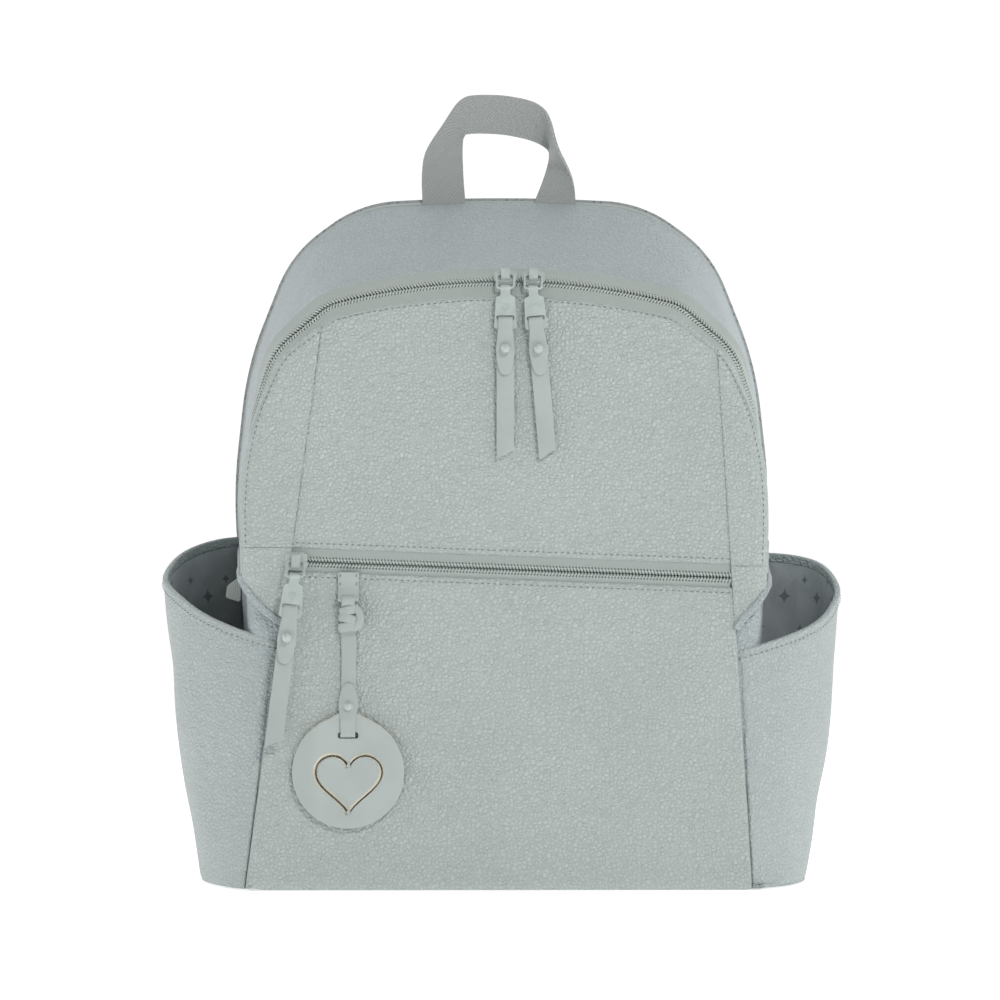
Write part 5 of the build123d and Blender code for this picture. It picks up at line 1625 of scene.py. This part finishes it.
class BagColours(bpy.types.PropertyGroup):
    """Colours of the bag's materials."""
    shell: colour_setting("Shell", "Grained leather of the front, wedges and base", 182, 191, 188)
    gusset: colour_setting("Gusset", "Leather over the top and down the sides", 174, 184, 186)
    pockets: colour_setting("Pockets", "Leather of the side pockets", 178, 187, 186)
    trim: colour_setting("Trim", "Smooth leather of the bindings and tabs", 174, 183, 180)
    straps: colour_setting("Pull straps", "Smooth leather of the pulls and the tag's strap", 170, 179, 176)
    tag: colour_setting("Tag", "Leather of the round tag", 174, 183, 180)
    cut_edge: colour_setting("Cut edge", "Raw edge inside the tag's cuts", 224, 216, 196)
    tape: colour_setting("Zip tape", "Woven tape of the zips", 168, 177, 173)
    coil: colour_setting("Zip coil", "Teeth of the zips", 186, 195, 190)
    webbing: colour_setting("Webbing", "Twill webbing of the handle and straps", 160, 164, 163)
    thread: colour_setting("Thread", "Sewing thread", 122, 133, 136)
    metal: colour_setting("Metal", "Painted sliders, plates and rings", 176, 186, 182)
    pearl: colour_setting("Stud", "Ball studs", 176, 185, 182)
    moulded: colour_setting("Ladder lock", "Moulded plastic of the strap locks", 150, 156, 155)
    lining: colour_setting("Lining", "Satin lining", 178, 184, 186)
    sparkle: colour_setting("Sparkle", "Small marks printed on the lining", 112, 118, 122)
    back_mesh: colour_setting("Back mesh", "Knitted mesh of the back and shoulder pads", 150, 156, 156)
    floor: colour_setting("Floor", "Studio floor", 250, 250, 250)


class BagSizes(bpy.types.PropertyGroup):
    """Sizes of the bag's soft parts."""
    leather: length_setting("Leather", "Thickness of the shell leather", 2.2)
    stitch: length_setting("Stitch", "Length of one stitch", 2.1)
    stitch_pitch: length_setting("Stitch pitch", "Distance from one stitch to the next", 3.6)
    thread: length_setting("Thread", "Thickness of the sewing thread", 0.7)
    tooth_pitch: length_setting("Tooth pitch", "Distance from one zip tooth to the next", 1.9)
    webbing: length_setting("Webbing", "Thickness of the handle's webbing", 1.9)
    cut: length_setting("Tag cut", "Width of the cut line in the tag", 3.0)


class BAG_OT_shell(bpy.types.Operator):
    """Front panels, wedges, gusset, base and their bindings"""
    bl_idname = "diaper_bag.shell"
    bl_label = "Leather shell"

    def execute(self, context):
        shell_parts()
        return {"FINISHED"}


class BAG_OT_zips(bpy.types.Operator):
    """Tapes, teeth and end tabs of both zips"""
    bl_idname = "diaper_bag.zips"
    bl_label = "Zips"

    def execute(self, context):
        zips()
        return {"FINISHED"}


class BAG_OT_pockets(bpy.types.Operator):
    """Open side pockets"""
    bl_idname = "diaper_bag.pockets"
    bl_label = "Side pockets"

    def execute(self, context):
        side_pockets()
        return {"FINISHED"}


class BAG_OT_pulls(bpy.types.Operator):
    """Sliders, links, plates, straps and studs of the zip pulls"""
    bl_idname = "diaper_bag.pulls"
    bl_label = "Zip pulls"

    def execute(self, context):
        pulls()
        return {"FINISHED"}


class BAG_OT_tag(bpy.types.Operator):
    """Hanging tag with its knotted strap"""
    bl_idname = "diaper_bag.tag"
    bl_label = "Hanging tag"

    def execute(self, context):
        tag_parts()
        return {"FINISHED"}


class BAG_OT_handle(bpy.types.Operator):
    """Webbing handle over the top"""
    bl_idname = "diaper_bag.handle"
    bl_label = "Handle"

    def execute(self, context):
        handle_part()
        return {"FINISHED"}


class BAG_OT_back(bpy.types.Operator):
    """Padded back, shoulder straps and stroller rings"""
    bl_idname = "diaper_bag.back"
    bl_label = "Back and straps"

    def execute(self, context):
        back_parts()
        return {"FINISHED"}


class BAG_OT_linings(bpy.types.Operator):
    """Linings, divider and inner pocket"""
    bl_idname = "diaper_bag.linings"
    bl_label = "Linings"

    def execute(self, context):
        linings()
        return {"FINISHED"}


class BAG_OT_threads(bpy.types.Operator):
    """Stitches along every sewn line laid so far"""
    bl_idname = "diaper_bag.threads"
    bl_label = "Stitches"

    def execute(self, context):
        threads()
        return {"FINISHED"}


class BAG_OT_stage(bpy.types.Operator):
    """Floor, soft light and camera"""
    bl_idname = "diaper_bag.stage"
    bl_label = "Studio"

    def execute(self, context):
        stage()
        return {"FINISHED"}


STEPS = (BAG_OT_shell, BAG_OT_zips, BAG_OT_pockets, BAG_OT_pulls, BAG_OT_tag, BAG_OT_handle, BAG_OT_back,
         BAG_OT_linings, BAG_OT_threads, BAG_OT_stage)


class BAG_PT_panel(bpy.types.Panel):
    """Sidebar list of the bag's colours, sizes and pieces"""
    bl_idname = "BAG_PT_panel"
    bl_label = "Diaper Bag"
    bl_space_type = "VIEW_3D"
    bl_region_type = "UI"
    bl_category = "Diaper Bag"

    def draw(self, context):
        column = self.layout.column()
        for group in (context.scene.bag_colours, context.scene.bag_sizes):
            for key in group.__annotations__:
                column.prop(group, key)
        for step in STEPS:
            column.operator(step.bl_idname)


CLASSES = (BagColours, BagSizes) + STEPS + (BAG_PT_panel,)


def register():
    for cls in CLASSES:
        bpy.utils.register_class(cls)
    bpy.types.Scene.bag_colours = PointerProperty(type=BagColours)
    bpy.types.Scene.bag_sizes = PointerProperty(type=BagSizes)


def unregister():
    del bpy.types.Scene.bag_sizes, bpy.types.Scene.bag_colours
    for cls in reversed(CLASSES):
        bpy.utils.unregister_class(cls)


def main():
    register()
    for step in STEPS:
        group, name = step.bl_idname.split(".")
        getattr(getattr(bpy.ops, group), name)()


if __name__ == "__main__":
    main()
